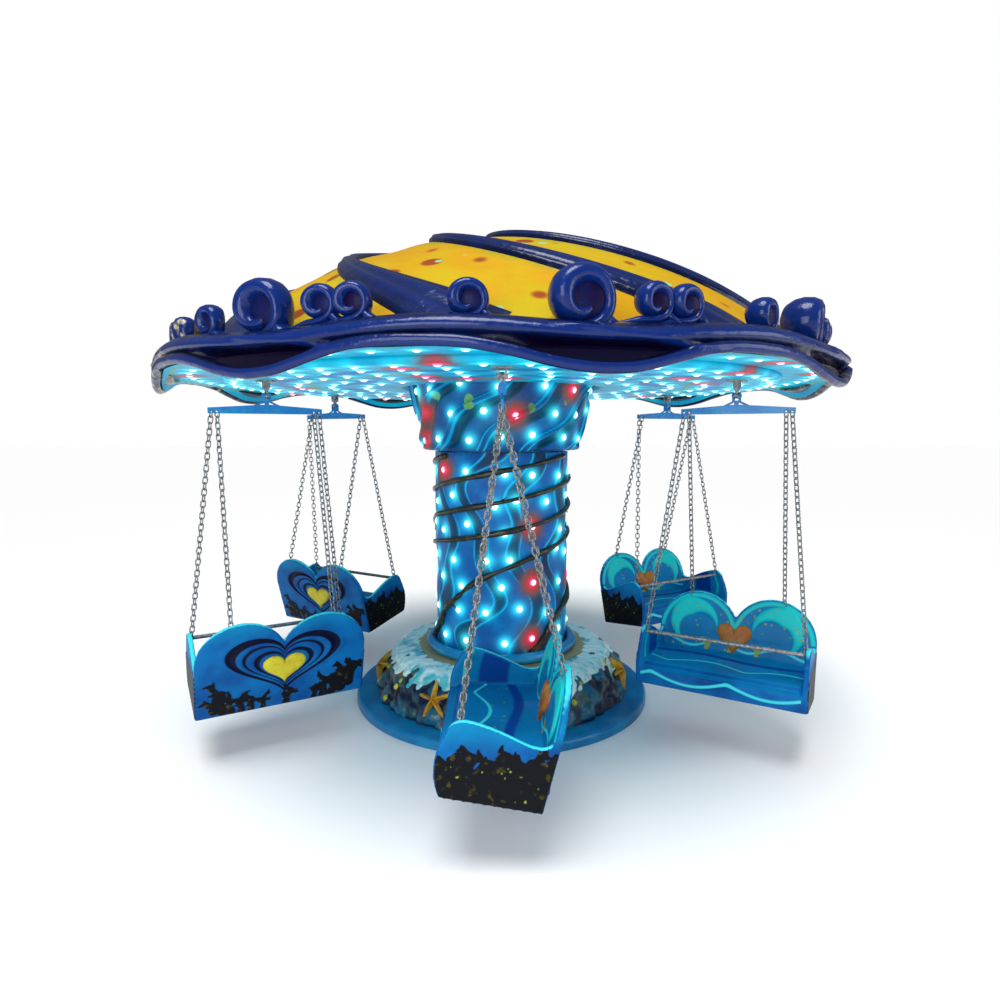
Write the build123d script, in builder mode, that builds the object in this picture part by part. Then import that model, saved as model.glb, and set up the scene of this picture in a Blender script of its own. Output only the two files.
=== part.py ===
"""Flying chair ride with six double seats hung from a wave-edged canopy.

Millimetres. The origin is the centre of the floor plate's underside, +Z is up.
Seat 1 is at the front, toward -Y, and the others follow counter-clockwise seen from above.
Every seat faces clockwise seen from above, so seat 1 faces -X.
"""
import math
import os

from build123d import *

os.makedirs("parts", exist_ok=True)

# Counts
seat_count = 6
wave_count = 9
vine_count = 3
starfish_count = 7
rock_count = 13

# Ground parts
floor_radius = 885
floor_thickness = 50
floor_edge_round = 18
plinth_foot_radius = 785
plinth_top_radius = 615
plinth_height = 250
plinth_foot_draw = 20
plinth_foot_rise = 90
plinth_brow_reach = 55
plinth_brow_drop = 45
rock_gap_radius = 55
rock_gap_foot = 30
rock_gap_out = 15
rock_gap_lean = 18
starfish_arm = 92
starfish_waist = 28
starfish_height = 24
starfish_sink = 12
starfish_out = 20
starfish_lift = 10
starfish_azimuth = 22
starfish_slope = 0.55
starfish_taper = 22

# Column
column_radius = 400
column_wall = 10
column_top_z = 1480
foot_ring_tube = 30
foot_ring_sides = 12
vine_radius = 17
vine_lead = 490
vine_foot_azimuth = -10
vine_foot_clear = 85
bearing_outer_radius = 300
bearing_bore_radius = 110
bearing_height = 9.7
running_gap = 0.3

# Rotating frame inside the canopy
hub_radius = 160
hub_wall = 12
hub_flange_thickness = 20
arm_width = 60
arm_height = 60
arm_bottom_z = 1924

# Capital, from its lip to its crown
capital_wall = 10
capital_lip_radius = 475
capital_crown_radius = 560
capital_lip_flare = 27
capital_lip_height = 60
capital_waist_radius = 517
capital_waist_height = 180
capital_crown_flare = 28
capital_crown_height = 130
capital_band = 20

# Soffit, as wide as the ring of hangers needs
hook_radius = 1350
skin = 10
recess_radius = 590
recess_z = 1912
soffit_z = 1850
soffit_reach = 180
soffit_radius = hook_radius + soffit_reach

# Wave rim
rim_seat_width = 15
rim_reach = 310
rim_inner_radius = soffit_radius + rim_seat_width
rim_radius = rim_inner_radius + rim_reach
rim_top_z = 1980
rim_cove_z = 1882
rim_lip_z = 1785
rim_lip_thickness = 32
wave_rise_z = 1872
wave_overlap = 30
rim_lip_inset = 5
rim_lip_slant = 10
dome_seat_inset = 95
rim_flat_width = 15
rim_shoulder_inset = 60
dome_seat_radius = rim_inner_radius + dome_seat_inset
rim_flat_radius = dome_seat_radius + rim_flat_width
rim_shoulder_radius = rim_radius - rim_shoulder_inset
rim_shoulder_fall = 25
rim_face_height = 12
rim_top_wall = 14
rim_bead_radius = 20
rim_bead_lift = 58
dome_seat_width = 45
rim_shoulder_drop = 22

# Curls on the rim: ring radius, hollow radius, thickness and azimuth in each wave
curl_inset = 147
curl_pitch_radius = rim_radius - curl_inset
big_curl_radius = 104
paired_curl_radius = 62
single_curl_radius = 64
curl_hollow_share = 0.52
curl_thickness_share = 1.15
big_curl_azimuth = 9.5
paired_curl_azimuths = (18.5, 22.8)
single_curl_azimuth = -3.5
curl_sink = 26
curl_settle = 8
curl_foot_share = 1.12
curl_left_reach = 1.7
curl_right_reach = 1.45

# Dome
dome_rise = 660
rib_height = 45
rib_foot_width = 220
rib_tip_width = 95
rib_tip_radius = 230
rib_twist = 95
rib_foot_azimuth = -2.5
crown_radius = 150
rib_foot_reach = 12

# Hangers
upper_pin_z = 1818
lower_pin_z = 1775
pin_radius = 8
pin_clearance = 0.05
eye_radius = 14
eye_width = 20
neck_width = 16
cheek_gap = 1.0
cheek_thickness = 8
cheek_radius = 16
pin_end = 4
hanger_plate = 84
hanger_plate_thickness = 8

# Spreader beam
beam_half_length = 272
beam_bottom_z = 1685
beam_middle_height = 47
beam_end_height = 28
beam_thickness = 10
chain_hole_radius = 6
outer_hole_inset = 14
inner_hole_inset = 41
hole_above_bottom = 12
stay_radius = 5
stay_spread = 75
stay_foot_drop = 16
neck_sink = 6
saddle_gap = 8

# Chains, drawn as straight bars with a ring at the top
chain_bar_radius = 6
ring_major = 14
ring_minor = 4
ring_width = 5
front_corner_across = 380
front_corner_forward = 150
front_corner_z = 574
rear_corner_across = 240
rear_corner_back = 228
rear_corner_z = 690
chain_sink = 12

# Seat shell: x is rearward, y across, z up, before it is turned to its place
seat_width = 810
panel_thickness = 26
back_thickness = 30
back_lean = 14.6
pan_z = 400
pan_thickness = 24
back_foot_x = 146
back_foot_z = 235
front_foot_x = -230
front_foot_z = 300
side_rear_x = 216
side_top_points = ((145, 482), (40, 520), (-80, 572), (-150, 584), (-205, 530))
side_belly_point = (-246, 420)
pan_front_x = -190
pan_rise = 14
pan_lip = 22
pan_lip_drop = 10
clear_height = 300
under_back_gap = 10
under_depth = 60
apron_thickness = 24
back_foot_lift = 40
lobe_across = 235
lobe_z = 705
notch_z = 585
shoulder_z = 520
lap_bar_radius = 10
lap_bar_z = 556
heart_width = 150
heart_proud = 14
heart_back_z = 470
heart_front_z = 520


def rod(start, end, radius):
    """Return a round rod between two points."""
    direction = Vector(*end) - Vector(*start)
    with BuildPart() as bar:
        with BuildSketch(Plane(origin=start, z_dir=direction)):
            Circle(radius)
        extrude(amount=direction.length)
    return bar.part


def export_turned(part, name, step):
    """Write one copy of a part for each seat, turned about the axis of the ride."""
    for index in range(seat_count):
        copy = part.rotate(Axis.Z, index * step)
        copy.label = f"{name}_{index + 1}"
        export_step(copy, f"parts/{name}_{index + 1}.step")


seat_step = 360 / seat_count
wave_step = 360 / wave_count
plinth_top_z = floor_thickness + plinth_height

# Floor plate
with BuildPart() as floor_plate:
    Cylinder(floor_radius, floor_thickness, align=(Align.CENTER, Align.CENTER, Align.MIN))
    fillet(floor_plate.edges().group_by(Axis.Z)[-1], floor_edge_round)
floor_plate.part.label = "floor_plate"
export_step(floor_plate.part, "parts/floor_plate.step")

# Plinth: a turned drum with upright hollows between its rocks
with BuildPart() as plinth:
    with BuildSketch(Plane.XZ):
        with BuildLine():
            Line((0, floor_thickness), (plinth_foot_radius, floor_thickness))
            Spline(
                (plinth_foot_radius, floor_thickness),
                (plinth_foot_radius - plinth_foot_draw, floor_thickness + plinth_foot_rise),
                (plinth_top_radius + plinth_brow_reach, plinth_top_z - plinth_brow_drop),
                (plinth_top_radius, plinth_top_z),
                tangents=((0, 1), (-1, 0)),
            )
            Line((plinth_top_radius, plinth_top_z), (0, plinth_top_z))
            Line((0, plinth_top_z), (0, floor_thickness))
        make_face()
    revolve(axis=Axis.Z)
    with Locations((0, 0, floor_thickness + rock_gap_foot)):
        with PolarLocations(plinth_foot_radius + rock_gap_out, rock_count):
            Cylinder(
                rock_gap_radius,
                plinth_height,
                rotation=(0, -rock_gap_lean, 0),
                align=(Align.CENTER, Align.CENTER, Align.MIN),
                mode=Mode.SUBTRACT,
            )
plinth.part.label = "plinth"
export_step(plinth.part, "parts/plinth.step")

# Starfish on the flank of the plinth
starfish_radius = (plinth_foot_radius + plinth_top_radius) / 2 + starfish_out
starfish_z = (floor_thickness + plinth_top_z) / 2 + starfish_lift
with BuildPart() as starfish:
    for index in range(starfish_count):
        turn = math.radians(index * 360 / starfish_count + starfish_azimuth - 90)
        outward = Vector(math.cos(turn), math.sin(turn), starfish_slope).normalized()
        middle = Vector(
            starfish_radius * math.cos(turn), starfish_radius * math.sin(turn), starfish_z
        )
        flank = Plane(origin=middle - outward * starfish_sink, z_dir=outward)
        with BuildSketch(flank):
            with BuildLine():
                Polyline(
                    [
                        (
                            (starfish_waist if point % 2 else starfish_arm)
                            * math.cos(math.radians(36 * point)),
                            (starfish_waist if point % 2 else starfish_arm)
                            * math.sin(math.radians(36 * point)),
                        )
                        for point in range(10)
                    ],
                    close=True,
                )
            make_face()
        extrude(amount=starfish_height + starfish_sink, taper=starfish_taper)
starfish.part.label = "starfish"
export_step(starfish.part, "parts/starfish.step")

# Foot ring
with BuildPart() as foot_ring:
    with BuildSketch(Plane.XZ):
        with Locations((column_radius + foot_ring_tube, plinth_top_z + foot_ring_tube)):
            RegularPolygon(foot_ring_tube, foot_ring_sides, major_radius=False, rotation=15)
    revolve(axis=Axis.Z)
foot_ring.part.label = "foot_ring"
export_step(foot_ring.part, "parts/foot_ring.step")

# Column cladding with a closed top
with BuildPart() as column:
    with Locations((0, 0, plinth_top_z)):
        Cylinder(
            column_radius, column_top_z - plinth_top_z, align=(Align.CENTER, Align.CENTER, Align.MIN)
        )
    with Locations((0, 0, plinth_top_z)):
        Cylinder(
            column_radius - column_wall,
            column_top_z - plinth_top_z - column_wall,
            align=(Align.CENTER, Align.CENTER, Align.MIN),
            mode=Mode.SUBTRACT,
        )
column.part.label = "column"
export_step(column.part, "parts/column.step")

# Vines: right-handed climbers round the column
vine_foot_z = plinth_top_z + vine_foot_clear
with BuildPart() as vines:
    with BuildLine(Plane.XY.offset(vine_foot_z)) as climb:
        Helix(vine_lead, column_top_z - vine_foot_z - 2 * vine_radius, column_radius + vine_radius / 3)
    with BuildSketch(Plane(origin=climb.line @ 0, z_dir=climb.line % 0)):
        RegularPolygon(vine_radius, 8)
    sweep(path=climb.line, is_frenet=True)
    one_vine = vines.part.rotate(Axis.Z, vine_foot_azimuth - 90)
    add(one_vine, mode=Mode.REPLACE)
    for index in range(1, vine_count):
        add(one_vine.rotate(Axis.Z, index * 360 / vine_count))
vines.part.label = "vines"
export_step(vines.part, "parts/vines.step")

# Bearing on top of the column
with BuildPart() as bearing:
    with Locations((0, 0, column_top_z)):
        Cylinder(
            bearing_outer_radius, bearing_height, align=(Align.CENTER, Align.CENTER, Align.MIN)
        )
    Hole(bearing_bore_radius)
bearing.part.label = "bearing"
export_step(bearing.part, "parts/bearing.step")

# Turning frame: hub, six arms and a post above each hanger
hub_bottom_z = column_top_z + bearing_height + running_gap
dome_sphere = (dome_seat_radius**2 + dome_rise**2) / (2 * dome_rise)
dome_centre_z = rim_top_z + dome_rise - dome_sphere
hub_top_z = dome_centre_z + math.sqrt((dome_sphere - skin) ** 2 - hub_radius**2)
with BuildPart() as turning_frame:
    with Locations((0, 0, hub_bottom_z)):
        Cylinder(hub_radius, hub_top_z - hub_bottom_z, align=(Align.CENTER, Align.CENTER, Align.MIN))
        Cylinder(
            bearing_outer_radius,
            hub_flange_thickness,
            align=(Align.CENTER, Align.CENTER, Align.MIN),
        )
    with Locations((0, 0, arm_bottom_z)):
        with PolarLocations(0, seat_count, start_angle=-90):
            Box(
                math.sqrt(rim_inner_radius**2 - (arm_width / 2) ** 2),
                arm_width,
                arm_height,
                align=(Align.MIN, Align.CENTER, Align.MIN),
            )
    with Locations((0, 0, soffit_z + skin)):
        with PolarLocations(hook_radius, seat_count, start_angle=-90):
            Box(
                arm_width,
                arm_width,
                arm_bottom_z - soffit_z - skin,
                align=(Align.CENTER, Align.CENTER, Align.MIN),
            )
    with Locations((0, 0, hub_bottom_z)):
        Cylinder(
            hub_radius - hub_wall,
            hub_top_z - hub_bottom_z,
            align=(Align.CENTER, Align.CENTER, Align.MIN),
            mode=Mode.SUBTRACT,
        )
turning_frame.part.label = "turning_frame"
export_step(turning_frame.part, "parts/turning_frame.step")

# Capital: a flared skin that hangs from the soffit and turns with it
inner_crown_radius = capital_crown_radius - capital_crown_flare - capital_wall
with BuildPart() as capital:
    with BuildSketch(Plane.XZ):
        with BuildLine():
            Line((bearing_outer_radius, hub_bottom_z), (capital_lip_radius, hub_bottom_z))
            Spline(
                (capital_lip_radius, hub_bottom_z),
                (capital_lip_radius + capital_lip_flare, hub_bottom_z + capital_lip_height),
                (capital_waist_radius, hub_bottom_z + capital_waist_height),
                (capital_crown_radius - capital_crown_flare, recess_z - capital_crown_height),
                (capital_crown_radius, recess_z - capital_band),
            )
            Polyline(
                (capital_crown_radius, recess_z - capital_band),
                (capital_crown_radius, recess_z),
                (capital_crown_radius - capital_wall, recess_z),
                (capital_crown_radius - capital_wall, recess_z - capital_band),
                (inner_crown_radius, recess_z - capital_crown_height),
                (capital_waist_radius - capital_wall, hub_bottom_z + capital_waist_height),
                (capital_lip_radius - capital_wall, hub_bottom_z + capital_lip_height),
                (capital_lip_radius - capital_wall, hub_bottom_z + capital_wall),
                (bearing_outer_radius, hub_bottom_z + capital_wall),
                (bearing_outer_radius, hub_bottom_z),
            )
        make_face()
    revolve(axis=Axis.Z)
capital.part.label = "capital"
export_step(capital.part, "parts/capital.step")

# Soffit with a recess over the capital
with BuildPart() as soffit:
    with BuildSketch(Plane.XZ):
        with BuildLine():
            Polyline(
                (hub_radius, recess_z),
                (recess_radius, recess_z),
                (recess_radius, soffit_z),
                (soffit_radius, soffit_z),
                (rim_inner_radius, rim_cove_z),
                (rim_inner_radius - skin, rim_cove_z),
                (soffit_radius - skin, soffit_z + skin),
                (recess_radius + skin, soffit_z + skin),
                (recess_radius + skin, recess_z + skin),
                (hub_radius, recess_z + skin),
                close=True,
            )
        make_face()
    revolve(axis=Axis.Z)
soffit.part.label = "soffit"
export_step(soffit.part, "parts/soffit.step")

# Cutter that shapes one wave of the rim's lower edge
wave_points = ((-20, 1.0), (-9, 0.62), (-1.5, 0.06), (5, 0.1), (13, 0.82), (20, 1.0))
cutter_reach = rim_radius + wave_overlap
cutter_depth = 2 * (wave_rise_z - rim_lip_z)
rim_lip_radius = rim_radius - rim_lip_inset
with BuildPart() as wave_cutter:
    with BuildSketch(Plane.XZ.offset(cutter_reach)):
        with BuildLine():
            crest_line = Spline(
                *[
                    (
                        rim_lip_radius * math.sin(math.radians(angle)),
                        rim_lip_z + (wave_rise_z - rim_lip_z) * share,
                    )
                    for angle, share in wave_points
                ],
                tangents=((1, 0), (1, 0)),
            )
            Polyline(
                crest_line @ 1,
                (crest_line @ 1) + Vector(wave_overlap, 0),
                (crest_line @ 1) + Vector(wave_overlap, -cutter_depth),
                (crest_line @ 0) + Vector(-wave_overlap, -cutter_depth),
                (crest_line @ 0) + Vector(-wave_overlap, 0),
                crest_line @ 0,
            )
        make_face()
    extrude(amount=rim_inner_radius - cutter_reach)

# Wave rim: a hollow band with a rolled bead round its face and a waved lip
with BuildPart() as wave_rim:
    with BuildSketch(Plane.XZ):
        with BuildLine():
            Polyline(
                (rim_lip_radius, rim_lip_z),
                (rim_lip_radius - rim_lip_thickness, rim_lip_z),
                (rim_lip_radius - rim_lip_thickness - rim_lip_slant, rim_cove_z),
                (rim_inner_radius, rim_cove_z),
                (rim_inner_radius, rim_top_z - rim_shoulder_drop),
                (dome_seat_radius - dome_seat_width, rim_top_z),
                (rim_flat_radius, rim_top_z),
            )
            ThreePointArc(
                (rim_flat_radius, rim_top_z),
                (rim_shoulder_radius, rim_top_z - rim_shoulder_fall),
                (rim_radius, rim_cove_z + rim_face_height),
            )
            Line((rim_radius, rim_cove_z + rim_face_height), (rim_lip_radius, rim_lip_z))
        make_face()
    revolve(axis=Axis.Z)
    with BuildSketch(Plane.XZ):
        with BuildLine():
            Polyline(
                (rim_inner_radius + skin, rim_cove_z + skin),
                (rim_lip_radius - rim_lip_thickness, rim_cove_z + skin),
                (rim_shoulder_radius - 2 * skin, rim_top_z - rim_shoulder_fall - skin),
                (dome_seat_radius, rim_top_z - rim_top_wall),
                (rim_inner_radius + skin, rim_top_z - rim_shoulder_drop - rim_top_wall),
                close=True,
            )
        make_face()
    revolve(axis=Axis.Z, mode=Mode.SUBTRACT)
    with BuildSketch(Plane.XZ):
        with Locations((rim_lip_radius - rim_bead_radius, rim_cove_z + rim_bead_lift)):
            Circle(rim_bead_radius)
    revolve(axis=Axis.Z)
    with PolarLocations(0, wave_count, start_angle=big_curl_azimuth):
        add(wave_cutter.part, mode=Mode.SUBTRACT)
wave_rim.part.label = "wave_rim"
export_step(wave_rim.part, "parts/wave_rim.step")


def curl_outline(radius):
    """Return a rolled crest that opens to the left, on a foot that sweeps in from both sides."""
    hollow = radius * curl_hollow_share
    foot_z = -radius * curl_foot_share
    base_z = -radius - curl_sink
    left_foot = (-curl_left_reach * radius, foot_z)
    right_foot = (curl_right_reach * radius, foot_z)
    lip = (-0.22 * radius, 0.12 * radius)
    with BuildSketch() as outline:
        with BuildLine():
            Spline(
                left_foot,
                (-radius, -radius),
                (-0.2 * radius, -0.72 * radius),
                (hollow, 0),
                tangents=((1, 0.1), (0, 1)),
            )
            ThreePointArc((hollow, 0), (0.1 * radius, 0.5 * radius), lip)
            ThreePointArc(lip, (-0.55 * radius, -0.38 * radius), (-radius, 0))
            ThreePointArc((-radius, 0), (0, radius), (radius, 0))
            Spline(
                (radius, 0),
                (1.13 * radius, -0.6 * radius),
                right_foot,
                tangents=((0, -1), (1, -0.3)),
            )
            Polyline(right_foot, (right_foot[0], base_z), (left_foot[0], base_z), left_foot)
        make_face()
    return outline.sketch


def make_curls(name, radius, azimuths):
    """Build the curls of one size round the whole rim and write them."""
    thickness = radius * curl_thickness_share
    with BuildPart() as one_curl:
        curl_face = Plane(
            origin=(0, -(curl_pitch_radius - thickness / 2), rim_top_z + radius - curl_settle),
            x_dir=(1, 0, 0),
            z_dir=(0, -1, 0),
        )
        with BuildSketch(curl_face):
            add(curl_outline(radius))
        extrude(amount=thickness)
    with BuildPart() as curls:
        for azimuth in azimuths:
            with PolarLocations(0, wave_count, start_angle=azimuth):
                add(one_curl.part)
    curls.part.label = name
    export_step(curls.part, f"parts/{name}.step")
    return curls


big_curls = make_curls("big_curls", big_curl_radius, (big_curl_azimuth,))
paired_curls = make_curls("paired_curls", paired_curl_radius, paired_curl_azimuths)
single_curls = make_curls("single_curls", single_curl_radius, (single_curl_azimuth,))

# Dome skin
with BuildPart() as dome:
    with Locations((0, 0, dome_centre_z)):
        Sphere(dome_sphere)
        Sphere(dome_sphere - skin, mode=Mode.SUBTRACT)
    split(bisect_by=Plane.XY.offset(rim_top_z), keep=Keep.TOP)
dome.part.label = "dome"
export_step(dome.part, "parts/dome.step")

# Dome ribs: swirled in plan, raised above the skin
rib_points = 7
with BuildPart() as dome_ribs:
    with BuildSketch(Plane.XY.offset(rim_top_z)):
        with BuildLine():
            leading = []
            trailing = []
            for index in range(rib_points):
                share = index / (rib_points - 1)
                radius = dome_seat_radius + rib_foot_reach - (dome_seat_radius - rib_tip_radius) * share
                width = rib_foot_width + (rib_tip_width - rib_foot_width) * share
                middle = math.radians(rib_foot_azimuth - 90 - rib_twist * share)
                half = width / 2 / radius
                leading.append((radius * math.cos(middle + half), radius * math.sin(middle + half)))
                trailing.append((radius * math.cos(middle - half), radius * math.sin(middle - half)))
            Spline(*leading)
            Line(leading[-1], trailing[-1])
            Spline(*trailing[::-1])
            Line(trailing[0], leading[0])
        make_face()
    extrude(amount=dome_rise + 2 * rib_height)
    one_rib = dome_ribs.part
    for index in range(1, wave_count):
        add(one_rib.rotate(Axis.Z, index * wave_step))
    with Locations((0, 0, rim_top_z)):
        Cylinder(
            crown_radius,
            dome_rise + 2 * rib_height,
            align=(Align.CENTER, Align.CENTER, Align.MIN),
        )
    with Locations((0, 0, dome_centre_z)):
        Sphere(dome_sphere + rib_height, mode=Mode.INTERSECT)
        Sphere(dome_sphere, mode=Mode.SUBTRACT)
    with BuildSketch(Plane.XY.offset(rim_top_z)):
        Circle(dome_seat_radius)
    extrude(amount=dome_rise + 2 * rib_height, mode=Mode.INTERSECT)
dome_ribs.part.label = "dome_ribs"
export_step(dome_ribs.part, "parts/dome_ribs.step")

cheek_offset = eye_width / 2 + cheek_gap
pin_half_length = cheek_offset + cheek_thickness + pin_end


def cheek_outline(height):
    """Return a clevis cheek: round about the pin at the sketch origin, square at its far end."""
    with BuildSketch() as outline:
        Circle(cheek_radius)
        Rectangle(2 * cheek_radius, height, align=(Align.CENTER, Align.MIN))
    return outline.sketch


# Hanger brackets: a clevis under the soffit at each arm, pin along the travel
with BuildPart() as brackets:
    with Locations((0, 0, soffit_z)):
        with PolarLocations(hook_radius, seat_count, start_angle=-90):
            Box(
                hanger_plate,
                hanger_plate,
                hanger_plate_thickness,
                align=(Align.CENTER, Align.CENTER, Align.MAX),
            )
    with BuildPart(mode=Mode.PRIVATE) as clevis:
        for cheek_x in (cheek_offset, -cheek_offset - cheek_thickness):
            with BuildSketch(Plane.YZ.offset(cheek_x)):
                with Locations((-hook_radius, upper_pin_z)):
                    add(cheek_outline(soffit_z - hanger_plate_thickness - upper_pin_z))
            extrude(amount=cheek_thickness)
        with BuildSketch(Plane.YZ.offset(-pin_half_length)):
            with Locations((-hook_radius, upper_pin_z)):
                Circle(pin_radius)
        extrude(amount=2 * pin_half_length)
    with PolarLocations(0, seat_count):
        add(clevis.part)
brackets.part.label = "brackets"
export_step(brackets.part, "parts/brackets.step")

# Swivel link: an upper eye on the bracket's pin and a lower eye square to it
with BuildPart() as link:
    with BuildSketch(Plane.YZ.offset(-eye_width / 2)):
        with Locations((-hook_radius, upper_pin_z)):
            Circle(eye_radius)
    extrude(amount=eye_width)
    with BuildSketch(Plane.XZ.offset(hook_radius - eye_width / 2)):
        with Locations((0, lower_pin_z)):
            Circle(eye_radius)
    extrude(amount=eye_width)
    with Locations((0, -hook_radius, (upper_pin_z + lower_pin_z) / 2)):
        Box(neck_width, neck_width, upper_pin_z - lower_pin_z - eye_radius)
    with BuildSketch(Plane.YZ.offset(-eye_width / 2)):
        with Locations((-hook_radius, upper_pin_z)):
            Circle(pin_radius + pin_clearance)
    extrude(amount=eye_width, mode=Mode.SUBTRACT)
    with BuildSketch(Plane.XZ.offset(hook_radius - eye_width / 2)):
        with Locations((0, lower_pin_z)):
            Circle(pin_radius + pin_clearance)
    extrude(amount=eye_width, mode=Mode.SUBTRACT)
export_turned(link.part, "link", seat_step)

# Spreader beam with the lower clevis and its two stays
saddle_top_z = lower_pin_z - cheek_radius - saddle_gap
beam_top_z = beam_bottom_z + beam_middle_height
with BuildPart() as beam:
    with BuildSketch(Plane.YZ.offset(-beam_thickness / 2)):
        with BuildLine():
            Polyline(
                (-hook_radius - beam_half_length, beam_bottom_z),
                (-hook_radius + beam_half_length, beam_bottom_z),
                (-hook_radius + beam_half_length, beam_bottom_z + beam_end_height),
                (-hook_radius, beam_top_z),
                (-hook_radius - beam_half_length, beam_bottom_z + beam_end_height),
                close=True,
            )
        make_face()
        with Locations((-hook_radius, beam_bottom_z + hole_above_bottom)):
            with Locations(
                (beam_half_length - outer_hole_inset, 0),
                (beam_half_length - inner_hole_inset, 0),
                (outer_hole_inset - beam_half_length, 0),
                (inner_hole_inset - beam_half_length, 0),
            ):
                Circle(chain_hole_radius, mode=Mode.SUBTRACT)
    extrude(amount=beam_thickness)
    for cheek_y in (-cheek_offset - cheek_thickness, cheek_offset):
        with BuildSketch(Plane.XZ.offset(hook_radius + cheek_y)):
            with Locations((0, lower_pin_z)):
                add(cheek_outline(lower_pin_z - saddle_top_z), rotation=180)
        extrude(amount=cheek_thickness)
    with BuildSketch(Plane.XZ.offset(hook_radius - pin_half_length)):
        with Locations((0, lower_pin_z)):
            Circle(pin_radius)
    extrude(amount=2 * pin_half_length)
    with Locations((0, -hook_radius, saddle_top_z)):
        Box(
            2 * cheek_radius,
            2 * (cheek_offset + cheek_thickness),
            cheek_thickness,
            align=(Align.CENTER, Align.CENTER, Align.MAX),
        )
    with Locations((0, -hook_radius, beam_top_z - neck_sink)):
        Box(
            beam_thickness,
            eye_width,
            saddle_top_z - cheek_thickness - beam_top_z + neck_sink,
            align=(Align.CENTER, Align.CENTER, Align.MIN),
        )
    for side in (-1, 1):
        add(
            rod(
                (0, -hook_radius + side * cheek_offset, saddle_top_z - cheek_thickness / 2),
                (0, -hook_radius + side * stay_spread, beam_top_z - stay_foot_drop),
                stay_radius,
            )
        )
export_turned(beam.part, "beam", seat_step)

# Chains
hole_z = beam_bottom_z + hole_above_bottom
ring_z = hole_z - ring_major
chain_ends = (
    (beam_half_length - outer_hole_inset, front_corner_across, -front_corner_forward, front_corner_z),
    (beam_half_length - inner_hole_inset, rear_corner_across, rear_corner_back, rear_corner_z),
)
with BuildPart() as chains:
    for hole_across, foot_across, foot_x, foot_z in chain_ends:
        for side in (-1, 1):
            with BuildSketch(Plane.XZ.offset(hook_radius - side * hole_across - ring_width / 2)):
                with Locations((0, ring_z)):
                    Circle(ring_major + ring_minor)
                    Circle(ring_major - ring_minor, mode=Mode.SUBTRACT)
            extrude(amount=ring_width)
            add(
                rod(
                    (0, -hook_radius + side * hole_across, ring_z - ring_major),
                    (foot_x, -hook_radius + side * foot_across, foot_z - chain_sink),
                    chain_bar_radius,
                )
            )
export_turned(chains.part, "chains", seat_step)

# Seat shell
lean = math.radians(back_lean)
back_offset = back_thickness / math.cos(lean)
back_pan_x = back_foot_x - back_offset + (pan_z - back_foot_z) * math.tan(lean)


def back_height(z):
    """Return the distance up the leaning back from the pan to the height z."""
    return (z - pan_z) / math.cos(lean)


back_plane = Plane(
    origin=(back_pan_x, -hook_radius, pan_z),
    x_dir=(0, 1, 0),
    z_dir=(math.cos(lean), 0, -math.sin(lean)),
)
half_width = seat_width / 2
with BuildPart() as shell:
    with BuildSketch(Plane.XZ.offset(hook_radius - half_width)):
        with BuildLine():
            Spline((side_rear_x, shoulder_z), *side_top_points)
            Spline(side_top_points[-1], side_belly_point, (front_foot_x, front_foot_z))
            Line((front_foot_x, front_foot_z), (back_foot_x, back_foot_z))
            Line((back_foot_x, back_foot_z), (side_rear_x, shoulder_z))
        make_face()
    extrude(amount=seat_width)
    with BuildSketch(Plane.XZ.offset(hook_radius - half_width + panel_thickness)):
        with BuildLine():
            Polyline(
                (back_pan_x, pan_z),
                (pan_front_x, pan_z + pan_rise),
                (pan_front_x - pan_lip, pan_z - pan_lip_drop),
                (-clear_height, pan_z - pan_lip_drop),
                (-clear_height, pan_z + clear_height),
                (back_pan_x + clear_height * math.tan(lean), pan_z + clear_height),
                close=True,
            )
        make_face()
    extrude(amount=seat_width - 2 * panel_thickness, mode=Mode.SUBTRACT)
    with BuildSketch(Plane.XZ.offset(hook_radius - half_width + panel_thickness)):
        with BuildLine():
            Polyline(
                (back_pan_x - under_back_gap, pan_z - pan_thickness),
                (pan_front_x, pan_z - pan_thickness),
                (front_foot_x + apron_thickness, front_foot_z - under_depth),
                (back_pan_x - 2 * apron_thickness, back_foot_z - under_depth),
                close=True,
            )
        make_face()
    extrude(amount=seat_width - 2 * panel_thickness, mode=Mode.SUBTRACT)
    with BuildSketch(back_plane):
        with BuildLine():
            right_lobe = ThreePointArc(
                (half_width, back_height(shoulder_z)),
                (lobe_across, back_height(lobe_z)),
                (0, back_height(notch_z)),
            )
            left_lobe = ThreePointArc(
                (0, back_height(notch_z)),
                (-lobe_across, back_height(lobe_z)),
                (-half_width, back_height(shoulder_z)),
            )
            Polyline(
                left_lobe @ 1,
                (-half_width, back_height(back_foot_z + back_foot_lift)),
                (half_width, back_height(back_foot_z + back_foot_lift)),
                right_lobe @ 0,
            )
        make_face()
    extrude(amount=back_thickness)
export_turned(shell.part, "shell", seat_step)

# Lap bar between the front corners
with BuildPart() as lap_bar:
    add(
        rod(
            (-front_corner_forward, -hook_radius - half_width + panel_thickness / 2, lap_bar_z),
            (-front_corner_forward, -hook_radius + half_width - panel_thickness / 2, lap_bar_z),
            lap_bar_radius,
        )
    )
export_turned(lap_bar.part, "lap_bar", seat_step)


def heart_outline(width):
    """Return a heart of this width about the sketch origin."""
    lobe = width / 4
    with BuildSketch() as outline:
        with BuildLine():
            ThreePointArc((0, lobe * 0.7), (lobe, lobe * 1.7), (2 * lobe, lobe * 0.6))
            Spline((2 * lobe, lobe * 0.6), (lobe * 1.3, -lobe * 0.75), (0, -lobe * 1.8))
            Spline((0, -lobe * 1.8), (-lobe * 1.3, -lobe * 0.75), (-2 * lobe, lobe * 0.6))
            ThreePointArc((-2 * lobe, lobe * 0.6), (-lobe, lobe * 1.7), (0, lobe * 0.7))
        make_face()
    return outline.sketch


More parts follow.
